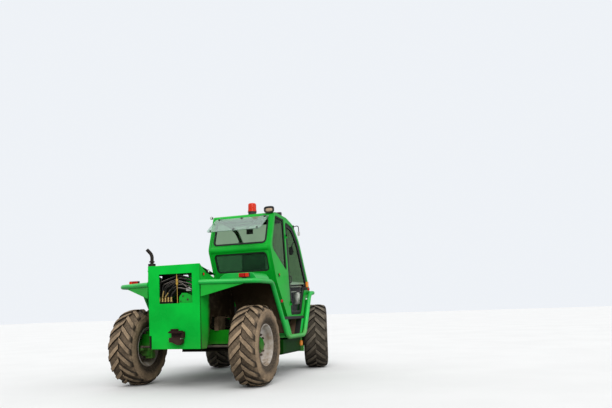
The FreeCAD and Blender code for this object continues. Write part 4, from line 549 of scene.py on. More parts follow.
class Form:
    """Gathers the corners and faces of one piece. What adds to it gives it back."""

    def __init__(self):
        self.bm = bmesh.new()

    def rows(self, rings):
        return [[self.bm.verts.new(p) for p in ring] for ring in rings]

    def loft(self, rings, closed=False, caps=True):
        """A skin over rings of equal length, in order."""
        rows = self.rows(rings)
        pairs = list(zip(rows, rows[1:])) + ([(rows[-1], rows[0])] if closed else [])
        for low, high in pairs:
            for i, corner in enumerate(low):
                j = (i + 1) % len(low)
                self.bm.faces.new((corner, low[j], high[j], high[i]))
        if caps and not closed:
            self.bm.faces.new(list(reversed(rows[0])))
            self.bm.faces.new(rows[-1])
        return self

    def prism(self, outline, plane, low, high):
        """An outline pulled through from low to high: side is (x, z), end is (y, z), plan is (x, y)."""
        spot = {
            "side": lambda a, b, s: (a, s, b),
            "end": lambda a, b, s: (s, a, b),
            "plan": lambda a, b, s: (a, b, s),
        }[plane]
        return self.loft([[spot(a, b, s) for a, b in outline] for s in (low, high)])

    def box(self, xs, ys, zs):
        return self.prism([(xs[0], ys[0]), (xs[1], ys[0]), (xs[1], ys[1]), (xs[0], ys[1])], "plan", *zs)

    def rod(self, start, end, radius, sides=24, end_radius=None):
        """A round bar between two points, tapered where the end's radius differs."""
        start, end = Vector(start), Vector(end)
        turn = (end - start).to_track_quat("Z", "Y")
        return self.loft([circle(start, turn, radius, sides),
                          circle(end, turn, radius if end_radius is None else end_radius, sides)])

    def tube(self, points, radius, sides, bend, steps=6):
        """A round bar along a route, its corners rounded to a bend radius."""
        points = rounded([Vector(p) for p in points], bend, steps)
        turn = (points[1] - points[0]).to_track_quat("Z", "Y")
        rings = []
        for i, point in enumerate(points):
            ahead = points[min(i + 1, len(points) - 1)] - points[max(i - 1, 0)]
            turn = (turn @ Vector((0, 0, 1))).rotation_difference(ahead) @ turn
            rings.append(circle(point, turn, radius, sides))
        return self.loft(rings)

    def lathe(self, profile, centre, axis, sides=64):
        """A profile of (radius, along) pairs turned about an axis through a centre."""
        turn = Vector(axis).to_track_quat("Z", "Y")
        angles = [math.tau * i / sides for i in range(sides)]
        rows = self.rows([[Vector(centre) + turn @ Vector((math.cos(angle) * r, math.sin(angle) * r, h))
                           for r, h in profile] for angle in angles])
        for i, row in enumerate(rows):
            after = rows[(i + 1) % sides]
            for k in range(len(profile) - 1):
                self.bm.faces.new((row[k], after[k], after[k + 1], row[k + 1]))
        return self

    def finish(self, name, finish, slot="black_plastic", body="chassis", bevel=0.0, angle=35, segments=2,
               place=None):
        """Makes the piece: merged, turned outwards, shaded by angle, painted and riding on its body."""
        bm = self.bm
        bmesh.ops.remove_doubles(bm, verts=bm.verts, dist=1e-6)
        flat = [f for f in bm.faces if f.calc_area() < 1e-12]
        if flat:
            bmesh.ops.delete(bm, geom=flat, context="FACES")
        if place is not None:
            bm.transform(place)
        bmesh.ops.recalc_face_normals(bm, faces=bm.faces)
        shade(bm, angle)
        return settle(mesh_of(bm, name), name, finish, body, bevel, segments)


def rounded(points, bend, steps):
    """A route with its corners rounded."""
    out = [points[0]]
    for before, corner, after in zip(points, points[1:], points[2:]):
        a, b = (before - corner), (after - corner)
        reach = min(bend, a.length * 0.48, b.length * 0.48)
        start, end = corner + a.normalized() * reach, corner + b.normalized() * reach
        for i in range(steps + 1):
            t = i / steps
            out.append(start.lerp(corner, t).lerp(corner.lerp(end, t), t))
    return out + [points[-1]]


def shade(bm, degrees):
    """Smooth faces, with edges sharper than an angle kept sharp."""
    limit = math.radians(degrees)
    for f in bm.faces:
        f.smooth = True
    for e in bm.edges:
        e.smooth = e.is_manifold and e.calc_face_angle(0.0) < limit


def mesh_of(bm, name):
    """A new mesh from a bmesh, which is freed."""
    mesh = bpy.data.meshes.new(name)
    bm.to_mesh(mesh)
    bm.free()
    return mesh


def put(name, data):
    """A new object in the scene."""
    thing = bpy.data.objects.new(name, data)
    bpy.context.scene.collection.objects.link(thing)
    return thing


def settle(mesh, name, finish, body, bevel=0.0, segments=2):
    """Puts a mesh in the scene as a piece that rides on a body."""
    piece = put(name, mesh)
    for word in ([finish] if isinstance(finish, str) else finish):
        mesh.materials.append(FINISH[word])
    if bevel:
        soften = piece.modifiers.new("Rounded edges", "BEVEL")
        soften.width = bevel
        soften.segments = segments
        soften.limit_method = "ANGLE"
        soften.angle_limit = math.radians(32)
        soften.harden_normals = True
        soften.use_clamp_overlap = True
    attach(piece, body)
    return piece


def body_of(node):
    return NODES[node]["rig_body"]


def welded(node):
    """The mesh of a CAD node as a bmesh with its corners merged and its flat faces joined."""
    bm = bmesh.new()
    bm.from_mesh(NODES[node].data)
    bmesh.ops.remove_doubles(bm, verts=bm.verts, dist=2e-5)
    bmesh.ops.dissolve_limit(bm, angle_limit=math.radians(0.6), verts=bm.verts, edges=bm.edges)
    return bm


def dressed(node, finish, bevel=0.004, angle=35, segments=2, pick=None):
    """A copy of a CAD node with rounded edges, which stands for it.

    Where it has several finishes, pick chooses one of them from a face's middle and normal.
    """
    bm = welded(node)
    shade(bm, angle)
    if pick:
        for f in bm.faces:
            f.material_index = int(pick(f.calc_center_median(), f.normal))
    name = node + "_skin"
    piece = settle(mesh_of(bm, name), name, finish, body_of(node), bevel, segments)
    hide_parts(node)


def coated(node, finish):
    """Gives a finish to a CAD node that stays as it is."""
    data = NODES[node].data
    data.materials.clear()
    data.materials.append(FINISH[finish])


def wheel_place(end, hand):
    """From a wheel at the origin, its axle along +Y and its outer side at +Y, to its place."""
    side, steer = SIDES[hand], STEER[end]
    axle = REAR_AXLE if end == "rear" else FRONT_AXLE
    reach = KINGPIN_INSET * side
    at = Vector((axle - reach * math.sin(steer), KINGPIN_Y * side + reach * math.cos(steer), WHEEL_HIGH))
    flip = Matrix.Scale(side, 4, Vector((0, 1, 0)))
    return Matrix.Translation(at) @ Matrix.Rotation(steer, 4, "Z") @ flip


def repeat_tree():
    """Geometry nodes: copies of a shape set in a straight row, or turned round the Y axis."""
    tree = bpy.data.node_groups.new("Set in a row or ring", "GeometryNodeTree")
    names = {}
    for label, kind in (("Shape", "Geometry"), ("Count", "Int"), ("Step", "Vector"), ("Turn", "Float"),
                        ("Finish", "Material")):
        socket = tree.interface.new_socket(label, in_out="INPUT", socket_type="NodeSocket" + kind)
        names[label] = socket.identifier
    tree.interface.new_socket("Shapes", in_out="OUTPUT", socket_type="NodeSocketGeometry")
    w = Wires(tree)
    given = w.add("NodeGroupInput").outputs
    line = w.add("GeometryNodeMeshLine", {"Count": given["Count"], "Offset": given["Step"]})
    share = w.math("DIVIDE", w.add("GeometryNodeInputIndex").outputs[0], given["Count"])
    turn = w.add("ShaderNodeCombineXYZ", {"Y": w.math("MULTIPLY", share, given["Turn"])})
    placed = w.add("GeometryNodeInstanceOnPoints", {
        "Points": line.outputs[0], "Instance": given["Shape"], "Rotation": turn.outputs[0],
    })
    real = w.add("GeometryNodeRealizeInstances", {0: placed.outputs[0]})
    shapes = w.add("GeometryNodeSetMaterial", {"Geometry": real.outputs[0], "Material": given["Finish"]})
    w.lead(w.add("NodeGroupOutput").inputs, Shapes=shapes.outputs[0])
    return tree, names


REPEAT = []


def repeated(form, finish, count, step=(0.0, 0.0, 0.0), turn=0.0):
    """The mesh of copies of a form, each a step on from the last or all turned round the Y axis."""
    if not REPEAT:
        REPEAT.extend(repeat_tree())
    tree, names = REPEAT
    bmesh.ops.remove_doubles(form.bm, verts=form.bm.verts, dist=1e-6)
    bmesh.ops.recalc_face_normals(form.bm, faces=form.bm.faces)
    shade(form.bm, 35)
    holder = put("seed", mesh_of(form.bm, "seed"))
    modifier = holder.modifiers.new("Repeat", "NODES")
    modifier.node_group = tree
    for label, value in (("Count", count), ("Step", step), ("Turn", turn), ("Finish", FINISH[finish])):
        modifier[names[label]] = value
    graph = bpy.context.evaluated_depsgraph_get()
    mesh = bpy.data.meshes.new_from_object(holder.evaluated_get(graph), depsgraph=graph)
    bpy.data.objects.remove(holder)
    return mesh


# The tyre's section out to the carcass: (radius, half width) pairs. A lug's top: (across, radius) pairs.
CARCASS = [
    (0.2625, 0.134), (0.276, 0.150), (0.300, 0.172), (0.330, 0.188), (0.365, 0.196), (0.400, 0.199),
    (0.430, 0.1965), (0.455, 0.191), (0.474, 0.182), (0.488, 0.168), (0.496, 0.148), (0.500, 0.110),
    (0.5015, 0.060), (0.502, 0.0),
]
LUG_LINE = [
    (-0.004, 0.5335), (0.030, 0.5340), (0.060, 0.5340), (0.095, 0.5325), (0.125, 0.5265),
    (0.150, 0.5205), (0.170, 0.5075), (0.185, 0.4880), (0.1935, 0.4600),
]
LUG_SWEPT_OVER = 0.188
LUG_FOOT = 0.430
LUG_SUNK = 0.006
LUG_LEAN = 1.28
SIDE_RINGS = ((0.335, 0.190), (0.392, 0.199), (0.445, 0.1945))
TYRE_SIDES = 108
AXLE = ((0, 0, 0), (0, 1, 0))


def carcass_radius(y):
    """Radius of the carcass at a distance from the tyre's middle."""
    y = abs(y)
    for (r_out, y_out), (r_in, y_in) in zip(CARCASS[4:], CARCASS[5:]):
        if y_in <= y <= y_out:
            return r_in + (r_out - r_in) * (y - y_in) / (y_out - y_in)
    return CARCASS[4][0]


def lug(side):
    """One lug of the tread, swept back from the middle of the tyre to its shoulder."""
    tyres = bpy.context.scene.tractor_tyres
    rings = []
    first, last = LUG_LINE[0][0], LUG_LINE[-1][0]
    for y, top in LUG_LINE:
        half = tyres.lug_width / 2 / tyres.radius
        sweep = half - tyres.lug_sweep * y / LUG_SWEPT_OVER
        half *= 1.0 + 0.2 * ((y - first) / (last - first))
        base = LUG_FOOT if y == last else carcass_radius(y) - LUG_SUNK
        ring = []
        for radius, lean in ((base, -LUG_LEAN), (top, -1.0), (top, 1.0), (base, LUG_LEAN)):
            angle = sweep + half * lean
            ring.append((-math.cos(angle) * radius, y * side, math.sin(angle) * radius))
        rings.append(ring)
    return Form().loft(rings)


def tyre_mesh():
    """A whole tyre about the origin: carcass, sidewall rings and two rows of lugs."""
    tyres = bpy.context.scene.tractor_tyres
    carcass = Form().lathe(CARCASS + [(r, -y) for r, y in reversed(CARCASS[:-1])], *AXLE, TYRE_SIDES)
    bmesh.ops.recalc_face_normals(carcass.bm, faces=carcass.bm.faces)
    for side, start in ((1, 0.0), (-1, math.tau / tyres.lug_count / 2)):
        mesh = repeated(lug(side), "tyre", tyres.lug_count, turn=math.tau)
        mesh.transform(Matrix.Rotation(start, 4, "Y"))
        carcass.bm.from_mesh(mesh)
    for radius, y in SIDE_RINGS:
        for side in (1, -1):
            carcass.lathe([(radius + out, (y + proud) * side) for out, proud in (
                (0.006, -0.003), (0.003, 0.0015), (-0.003, 0.0015), (-0.006, -0.003))], *AXLE, TYRE_SIDES)
    bmesh.ops.recalc_face_normals(carcass.bm, faces=carcass.bm.faces)
    shade(carcass.bm, 38)
    mesh = mesh_of(carcass.bm, "tyre")
    mesh.materials.clear()
    reach = mesh.attributes.new("tyre_reach", "FLOAT", "POINT")
    for i, vertex in enumerate(mesh.vertices):
        reach.data[i].value = math.hypot(vertex.co.x, vertex.co.z)
    return mesh


def turned_out(mesh, place):
    """A copy of a mesh in its place, its faces outwards also where the place mirrors it."""
    copy = mesh.copy()
    copy.transform(place)
    if place.determinant() < 0:
        copy.flip_normals()
    return copy


def mark_outward(mesh, place):
    """Stores the way out from the wheel's axle at each corner, for the shader."""
    centre, axle = place.translation, (place.to_3x3() @ Vector((0, 1, 0))).normalized()
    outward = mesh.attributes.new("tyre_out", "FLOAT_VECTOR", "POINT")
    for i, vertex in enumerate(mesh.vertices):
        arm = vertex.co - centre
        outward.data[i].vector = (arm - axle * arm.dot(axle)).normalized()


RIM_FACE = [
    (0.2795, 0.134), (0.2795, 0.156), (0.2765, 0.1605), (0.270, 0.1605), (0.2625, 0.152), (0.2585, 0.139),
    (0.2535, 0.131), (0.2470, 0.120), (0.2430, 0.104), (0.2415, 0.088), (0.2370, 0.074), (0.2260, 0.064),
    (0.2060, 0.0555), (0.1850, 0.0525), (0.1700, 0.0545), (0.1560, 0.0600), (0.1180, 0.0600),
    (0.1060, 0.0600),
]
RIM_BACK = [
    (0.1060, 0.046), (0.1560, 0.046), (0.1850, 0.0385), (0.2200, 0.045), (0.2300, 0.035), (0.2300, -0.120),
    (0.2400, -0.135), (0.2585, -0.150), (0.270, -0.1605), (0.2795, -0.156), (0.2795, -0.140),
    (0.2620, -0.134),
    (0.2560, -0.090), (0.2480, -0.050), (0.2480, 0.080), (0.2620, 0.134),
]
HUB = [
    (0.106, 0.046), (0.106, 0.072), (0.100, 0.082), (0.092, 0.086), (0.078, 0.088), (0.074, 0.100),
    (0.064, 0.1035), (0.030, 0.1040), (0.0, 0.1040),
]
HUB_BACK = [(0.106, 0.046), (0.106, -0.075), (0.062, -0.075)]
CAP_BOLTS = 8


class TRACTOR_OT_tyres(bpy.types.Operator):
    """Four tyres with swept lugs, dressed in place of the plain ones"""

    bl_idname = "tractor.tyres"
    bl_label = "Tyres"

    def execute(self, context):
        master = tyre_mesh()
        half_pitch = math.pi / context.scene.tractor_tyres.lug_count
        for end, hand in WHEELS:
            name = "%s_%s" % (end, hand)
            place = wheel_place(end, hand)
            mesh = turned_out(master, place @ Matrix.Rotation(half_pitch if hand == "right" else 0.0, 4, "Y"))
            mark_outward(mesh, place)
            finish = "tyre" if end == "rear" else "front_tyre"
            piece = settle(mesh, name + "_tyre_tread", finish, name + "_wheel", bevel=0.004,
                           segments=1)
            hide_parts(name + "_tyre")
        return {"FINISHED"}


class TRACTOR_OT_wheels(bpy.types.Operator):
    """Four dished wheels with hubs, nuts and valves"""

    bl_idname = "tractor.wheels"
    bl_label = "Wheels"

    def execute(self, context):
        tyres = context.scene.tractor_tyres
        at = tyres.nut_circle
        nut = Form()
        for low, high, radius, sides in ((0.0590, 0.0640, 0.019, 20), (0.0640, 0.0790, 0.0155, 6),
                                         (0.0790, 0.0880, 0.0085, 10)):
            nut.rod((at, low, 0), (at, high, 0), radius, sides)
        bolt = Form().rod((0.083, 0.085, 0), (0.083, 0.0935, 0), 0.0062, 6)
        rings = (("nuts", repeated(nut, "iron", tyres.nut_count, turn=math.tau)),
                 ("cap_bolts", repeated(bolt, "iron", CAP_BOLTS, turn=math.tau)))
        for end, hand in WHEELS:
            name = "%s_%s" % (end, hand)
            wheel = name + "_wheel"
            place = wheel_place(end, hand)
            rim = Form().lathe(RIM_FACE + RIM_BACK + [RIM_FACE[0]], *AXLE, 96)
            rim.rod((0.0, 0.118, -0.236), (0.0, 0.152, -0.226), 0.005, 10)
            piece = rim.finish(wheel + "_disc", "rim", "rim_paint", wheel, place=place)
            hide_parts(name + "_rim")
            hub = Form().lathe(HUB, *AXLE).lathe(HUB_BACK, *AXLE)
            hub.finish(name + "_hub", "axle", "axle_paint", wheel, place=place)
            for word, mesh in rings:
                copy = turned_out(mesh, place)
                copy.materials.clear()
                settle(copy, "%s_%s" % (name, word), "iron", wheel)
        return {"FINISHED"}


def shaded_inside_frame(middle, normal):
    """Picks the second finish, oily grime that is also painted shade, for what faces inwards between the
    frame's side plates.
    """
    return abs(middle.y) < FRAME_HALF - 0.006 and normal.z < 0.5


class TRACTOR_OT_frame(bpy.types.Operator):
    """The frame, tail plate, axles and the parts of the running gear"""

    bl_idname = "tractor.frame"
    bl_label = "Frame and axles"

    def execute(self, context):
        dressed("main_frame", ("frame", "grime"), bevel=0.003, pick=shaded_inside_frame)
        # The tail plate's forward face, inside the tower, takes the grime and painted shade.
        dressed("tail_plate", ("tail", "grime"), pick=lambda middle, normal: normal.x > 0.5)
        dressed("drawbar_jaw", "rusty")
        hitch = Form().box((-2.056, -1.992), (-0.068, 0.022), (0.7665, 0.790))
        hitch.box((-2.066, -1.990), (-0.168, 0.052), (0.736, 0.754))
        hitch.box((-2.050, -1.990), (-0.168, -0.140), (0.672, 0.736))
        hitch.prism([(0.040, 0.640), (0.040, 0.655), (-0.160, 0.655), (-0.156, 0.606), (-0.118, 0.582),
                     (-0.080, 0.584)], "end", -2.066, -2.000)
        hitch.finish("hitch_plates", "rusty", "black_steel", bevel=0.004)
        lip = Form().box((-2.067, -1.995), (-0.146, 0.038), (0.6555, 0.672))
        lip.finish("hitch_lip", "steel", "bare_steel", bevel=0.003)
        # A plate across the inside of the frame, in the oily black that also stands for painted shade.
        plate = Form().box((-0.360, -0.350), (-0.398, 0.398), (0.700, 0.935))
        plate.finish("frame_cross_plate", "grime", "green_paint", bevel=0.002)
        for end in ("front", "rear"):
            dressed(end + "_axle", ("axle", "under"), bevel=0.006,
                    pick=lambda middle, normal: middle.z > 0.755)
            dressed(end + "_track_rod", "iron", bevel=0.002)
            for hand in SIDES:
                dressed("%s_%s_knuckle" % (end, hand), "axle", bevel=0.008)
        return {"FINISHED"}


class TRACTOR_OT_sheet_metal(bpy.types.Operator):
    """Mudguards, rails, step, tank, engine bay and boom"""

    bl_idname = "tractor.sheet_metal"
    bl_label = "Rails, mudguards, bay and boom"

    def execute(self, context):
        dressed("perimeter_rails", "light", bevel=0, angle=50)
        dressed("rail_gussets", "green", bevel=0.002)
        dressed("rail_posts", "green", bevel=0.003)
        dressed("rear_mudguards", ("green", "under"), bevel=0.0015, pick=lambda middle,
                normal: normal.z < -0.15)
        dressed("front_mudguards", ("green", "under"), bevel=0.0015,
                pick=lambda middle, normal: normal.x > 0.2 or normal.z < -0.2)
        dressed("cab_step", "step", bevel=0.006)
        dressed("guard_cover", "light", bevel=0.008, segments=3)
        dressed("side_tank", ("tank", "under"), bevel=0.008, segments=3,
                pick=lambda middle, normal: middle.z > 0.6 and normal.y < -0.5)
        dressed("engine_tub", "green", bevel=0.002)
        dressed("engine_hood", "green", bevel=0.003)
        dressed("engine_block", "iron", bevel=0.01)
        # Painted shade: the boom's tail inside the tower takes the oily black in place of the boom's green.
        dressed("boom_outer", ("green", "grime"), pick=lambda middle, normal: middle.x < aft(-0.2))
        dressed("boom_inner", "black")
        dressed("carriage", "green")
        dressed("lift_barrel", "black", bevel=0.003, angle=40)
        dressed("lift_rod", "chrome", bevel=0.002, angle=40)
        dressed("exhaust_stack", "pipe", bevel=0.003, angle=50)
        dressed("tail_hoses", "hose", bevel=0, angle=50)
        dressed("valve_block", "grime")
        return {"FINISHED"}


class TRACTOR_OT_cab(bpy.types.Operator):
    """Cab frames, door, roof, floor and glass"""

    bl_idname = "tractor.cab"
    bl_label = "Cab"

    def execute(self, context):
        for word, inward in (("right", (0, 1, 0)), ("left", (0, -1, 0)), ("rear", (1, 0, 0))):
            # Inward faces take the lining: painted shade inside the cab.
            dressed("cab_%s_frame" % word, ("green", "lining"), bevel=0.006, segments=3,
                    pick=lambda middle, normal, inward=Vector(inward): normal.dot(inward) > 0.7)
        dressed("cab_roof", "green", bevel=0.006)
        # Floor tops and inner faces take the lining: painted shade inside the doorway.
        dressed("cab_floor", ("green", "lining"), bevel=0.003,
                pick=lambda middle, normal: normal.z > 0.3 or (normal.x < -0.3 and middle.x > 0))
        dressed("door_frame", "door", bevel=0.005)
        dressed("steering_column", "plastic", bevel=0.002, angle=50)
        for node, finish in (("roof_glass", "glass"), ("windscreen", "glass"), ("quarter_glass", "glass"),
                             ("left_glass", "glass"), ("door_glass", "door_glass"),
                             ("rear_lower_glass", "shaded_glass"), ("rear_vent_glass", "pale_glass")):
            coated(node, finish)
        return {"FINISHED"}


# The opening behind the upper rear pane, its rounding, and the thickness of a pane.
HATCH_YS = (-0.942, -0.078)
HATCH_ZS = (1.965, 2.345)
HATCH_BEND = 0.06
PANE = 0.008
SEAL_FRONT = 0.007
SEAL_BACK = -0.018
SEAL_LAP = 0.004


def rear_face_x(z):
    """Place of the cab's rear face at a height."""
    return -1.0835 + (z - 1.9) * 0.17 / 0.54


def sealed(node, outward, spread=60):
    """A rubber seal round the edge of a pane, on both of its sides."""
    sizes = bpy.context.scene.tractor_body
    bm = welded(node)
    limit = math.cos(math.radians(spread))
    away = [f for f in bm.faces if f.normal.dot(Vector(outward)) < limit]
    bmesh.ops.delete(bm, geom=away, context="FACES")
    made = bmesh.ops.inset_region(bm, faces=bm.faces[:], thickness=sizes.seal, use_even_offset=True,
                                  use_boundary=True)
    border = set(made["faces"])
    bmesh.ops.delete(bm, geom=[f for f in bm.faces if f not in border], context="FACES")
    shade(bm, 40)
    name = node + "_seal"
    piece = settle(mesh_of(bm, name), name, "seal", body_of(node))
    wall = piece.modifiers.new("Wall", "SOLIDIFY")
    wall.thickness = PANE + 2 * sizes.seal_proud
    wall.offset = -1 + 2 * sizes.seal_proud / wall.thickness
    soften = piece.modifiers.new("Rounded edges", "BEVEL")
    soften.width, soften.segments, soften.limit_method = 0.0025, 2, "ANGLE"


class TRACTOR_OT_seals(bpy.types.Operator):
    """Black rubber seals round the panes of the cab"""

    bl_idname = "tractor.seals"
    bl_label = "Window seals"

    def execute(self, context):
        for node, outward in (("quarter_glass", (0, -1, 0)), ("left_glass", (0, 1, 0)),
                              ("door_glass", (0, -1, 0)),
                              ("rear_lower_glass", (-1, 0, 0)), ("roof_glass", (0, 0, 1))):
            sealed(node, outward)
        (y0, y1), (z0, z1), bend = HATCH_YS, HATCH_ZS, HATCH_BEND
        inner = bend - context.scene.tractor_body.seal
        outer = bend + SEAL_LAP
        rings = []
        for y, z, start in ((y1 - bend, z1 - bend, 0), (y0 + bend, z1 - bend, 90),
                            (y0 + bend, z0 + bend, 180),
                            (y1 - bend, z0 + bend, 270)):
            for turn in (math.radians(start + step * 15) for step in range(7)):
                ring = []
                for reach, out in ((outer, SEAL_FRONT), (inner, SEAL_FRONT), (inner, SEAL_BACK),
                                   (outer, SEAL_BACK)):
                    high = z + math.sin(turn) * reach
                    ring.append((rear_face_x(high) - out, y + math.cos(turn) * reach, high))
                rings.append(ring)
        Form().loft(rings, closed=True).finish("hatch_seal", "seal", bevel=0.003)
        return {"FINISHED"}


class TRACTOR_OT_lamps(bpy.types.Operator):
    """Tail lamps and the beacon"""

    bl_idname = "tractor.lamps"
    bl_label = "Lamps"

    def execute(self, context):
        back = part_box("tail_lamps")[0].x
        for word, y0, z in (("left", 0.800, 1.438), ("right", -0.961, 1.470)):
            y1 = y0 + 0.152
            case = Form().box((back + 0.012, back + 0.050), (y0, y1), (z - 0.030, z + 0.030))
            case.box((back + 0.020, back + 0.042), (y0 + 0.040, y0 + 0.112), (GUARD_TOP, z - 0.028))
            piece = case.finish("tail_lamp_case_" + word, "plastic", bevel=0.004)
            if word == "left":
                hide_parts("tail_lamps")
            inner = y0 if word == "left" else y1
            outer = y1 if word == "left" else y0
            split = inner + (outer - inner) * 0.62
            for tone, a, b in (("red", inner, split), ("orange", split, outer)):
                a, b = min(a, b), max(a, b)
                glass = Form().box((back, back + 0.014), (a + 0.003, b - 0.003), (z - 0.026, z + 0.026))
                glass.finish("tail_lamp_%s_%s" % (tone, word), tone, tone + "_lens", bevel=0.006,
                             segments=3)
        low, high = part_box("beacon")
        middle = ((low.x + high.x) / 2, (low.y + high.y) / 2, 0)
        base = Form()
        base.lathe([(0.0, low.z), (0.062, low.z), (0.060, low.z + 0.030), (0.069, low.z + 0.034),
                    (0.069, low.z + 0.043), (0.0, low.z + 0.043)], middle, (0, 0, 1), 48)
        base.finish("beacon_base", "plastic")
        dome = Form()
        start = low.z + 0.043
        dome.lathe([(0.0, start), (0.0665, start), (0.066, start + 0.020), (0.063, start + 0.022),
                    (0.062, high.z - 0.030), (0.058, high.z - 0.012), (0.048, high.z - 0.003),
                    (0.0, high.z - 0.001)], middle, (0, 0, 1), 48)
        lit = dome.finish("beacon_lens", "orange", "orange_lens")
        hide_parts("beacon")
        return {"FINISHED"}


# Hoses in the service opening, as in the frame: where each starts, how far ahead it ends and how high.
HOSE_X = aft(-0.512)
HOSE_FOOT = 1.150
HOSES = [(0.062, 0.060, 1.225), (0.108, 0.096, 1.268), (0.154, 0.060, 1.312), (0.200, 0.096, 1.356),
         (0.246, 0.072, 1.400)]
# Parts of a hose end: from and to along the hose, radius and sides.
FERRULE = ((0.0, 0.014, 0.0185, 6), (0.014, 0.052, 0.0145, 20), (0.052, 0.058, 0.0158, 20))


class TRACTOR_OT_hydraulics(bpy.types.Operator):
    """Hose ends, steel lines, a bracket and a strap in the service opening"""

    bl_idname = "tractor.hydraulics"
    bl_label = "Hydraulics"

    def execute(self, context):
        ends = Form()
        for start, ahead, high in HOSES:
            for low, top, radius, sides in FERRULE:
                ends.rod((HOSE_X, start, HOSE_FOOT + low), (HOSE_X, start, HOSE_FOOT + top), radius, sides)
            far = HOSE_X + ahead
            for low, top, radius, sides in FERRULE[:2]:
                ends.rod((far, low - PLATE_IN, high), (far, top - PLATE_IN, high), radius, sides)
        back = HOSE_X - 0.024
        lines = Form()
        for foot, head, shoulder in (((0.141, 1.213), (0.072, 1.291), (0.0, 1.372)),
                                     ((0.184, 1.215), (0.160, 1.330), (0.060, 1.402))):
            (y0, z0), (y1, z1), (y2, z2) = foot, head, shoulder
            ends.rod((back, y0, z0), (back, y0 + (y1 - y0) * 0.7, z0 + (z1 - z0) * 0.7), 0.0105, 12)
            lines.tube([(back, y0, z0), (back, y1, z1), (back, y2, z2), (back, -0.044, 1.410),
                        (back, -0.120, 1.385), (back, -0.205, 1.312), (back, -0.30, 1.28)], 0.0062, 10,
                        bend=0.05,
                       steps=8)
        lines.finish("pilot_lines", "hose", "hose_rubber", angle=60)
        ends.finish("hose_ends", "brass", "bare_steel")
        bracket = Form()
        low = 1.102
        bracket.prism([(-PLATE_IN, low), (-0.048, low), (-0.048, 1.205), (-0.088, 1.258), (-0.165, 1.258),
                       (-0.25, 1.215), (-PLATE_IN, 1.17)], "end", HOSE_X + 0.016, HOSE_X + 0.022)
        bracket.finish("valve_bracket", "green", "green_paint", bevel=0.001)
        holes = Form()
        for y, z, size in ((-0.108, 1.217, 0.012), (-0.180, 1.170, 0.014), (-0.075, 1.150, 0.008)):
            holes.lathe([(size * 0.55, 0.0), (size, 0.0), (size, 0.004), (size * 0.55, 0.004)],
                        (HOSE_X + 0.012, y, z), (1, 0, 0), 24)
            holes.rod((HOSE_X + 0.0155, y, z), (HOSE_X + 0.0158, y, z), size * 0.6, 24)
        holes.finish("bracket_grommets", "rubber")
        tail, end, short, fall = aft(-0.556), aft(-0.10), aft(-0.40), 0.24 / 1.02
        # The cover's black underside and the dark sheet across the tower behind the hoses are painted shade:
        # they keep the light out of the open tower.
        for name, finish, top, thick in (("tower_cover", "light", 1.619, 0.003),
                                         ("tower_shade_lining", "grime", 1.616, 0.004)):
            cover = Form()
            for reach, inner, outer in ((end, -PLATE_IN, 0.006), (short, 0.006, PLATE_IN)):
                cover.prism([(tail, top), (reach, top - fall * (reach - tail)),
                             (reach, top - thick - fall * (reach - tail)), (tail, top - thick)], "side",
                             inner, outer)
            if finish == "grime":
                cover.box((aft(-0.4475), aft(-0.4445)), (-PLATE_IN, PLATE_IN), (1.5005, 1.589))
            cover.finish(name, finish, "black_steel" if finish == "grime" else "light_green_paint")
        corner = Form()
        corner.prism([(-0.114, 1.512), (-PLATE_IN, 1.512), (-PLATE_IN, 1.380), (-0.222, 1.405),
                      (-0.130, 1.470)],
                     "end", aft(-0.388), aft(-0.384))
        corner.finish("tower_corner", "green", "green_paint")
        fitting = Form().box((HOSE_X + 0.010, HOSE_X + 0.040), (-0.232, -0.158), (1.281, 1.318))
        fitting.rod((HOSE_X + 0.025, -0.2, 1.318), (HOSE_X + 0.025, -0.2, 1.334), 0.013, 20)
        fitting.finish("sensor_box", "pale", bevel=0.004)
        strap = Form()
        tie = HOSE_X - 0.034
        strap.tube([(tie, -0.036, 1.512), (tie, -0.040, 1.470), (tie - 0.004, -0.043, 1.440)], 0.006, 8,
                   bend=0.01)
        strap.lathe([(0.0, -0.040), (0.013, -0.036), (0.0165, -0.016), (0.015, 0.012), (0.0175, 0.030),
                     (0.010, 0.042), (0.0, 0.044)], (tie, -0.0435, 1.404), (0, 0.02, 1), 16)
        strap.tube([(tie, -0.0445, 1.364), (tie + 0.004, -0.047, 1.280), (tie, -0.0535, 1.128)], 0.0038, 8,
                   bend=0.02)
        strap.finish("hose_strap", "strap", "seat_fabric", angle=60)
        return {"FINISHED"}


def disc_lamp(at, axis, radius, depth, name, tone, slot):
    """A small round lamp or reflector: a black dish and a lens."""
    at, axis = Vector(at), Vector(axis).normalized()
    dish = Form()
    dish.lathe([(0.0, 0.0), (radius * 0.8, 0.0), (radius, depth * 0.5), (radius, depth),
                (radius * 0.86, depth),
                (radius * 0.86, depth * 0.7), (0.0, depth * 0.7)], at, axis, 32)
    dish.finish(name + "_dish", "plastic")
    glass = Form()
    glass.lathe([(0.0, depth * 0.72), (radius * 0.84, depth * 0.72), (radius * 0.84, depth * 0.95),
                 (radius * 0.5, depth * 1.12), (0.0, depth * 1.16)], at, axis, 32)
    glass.finish(name + "_lens", tone, slot)


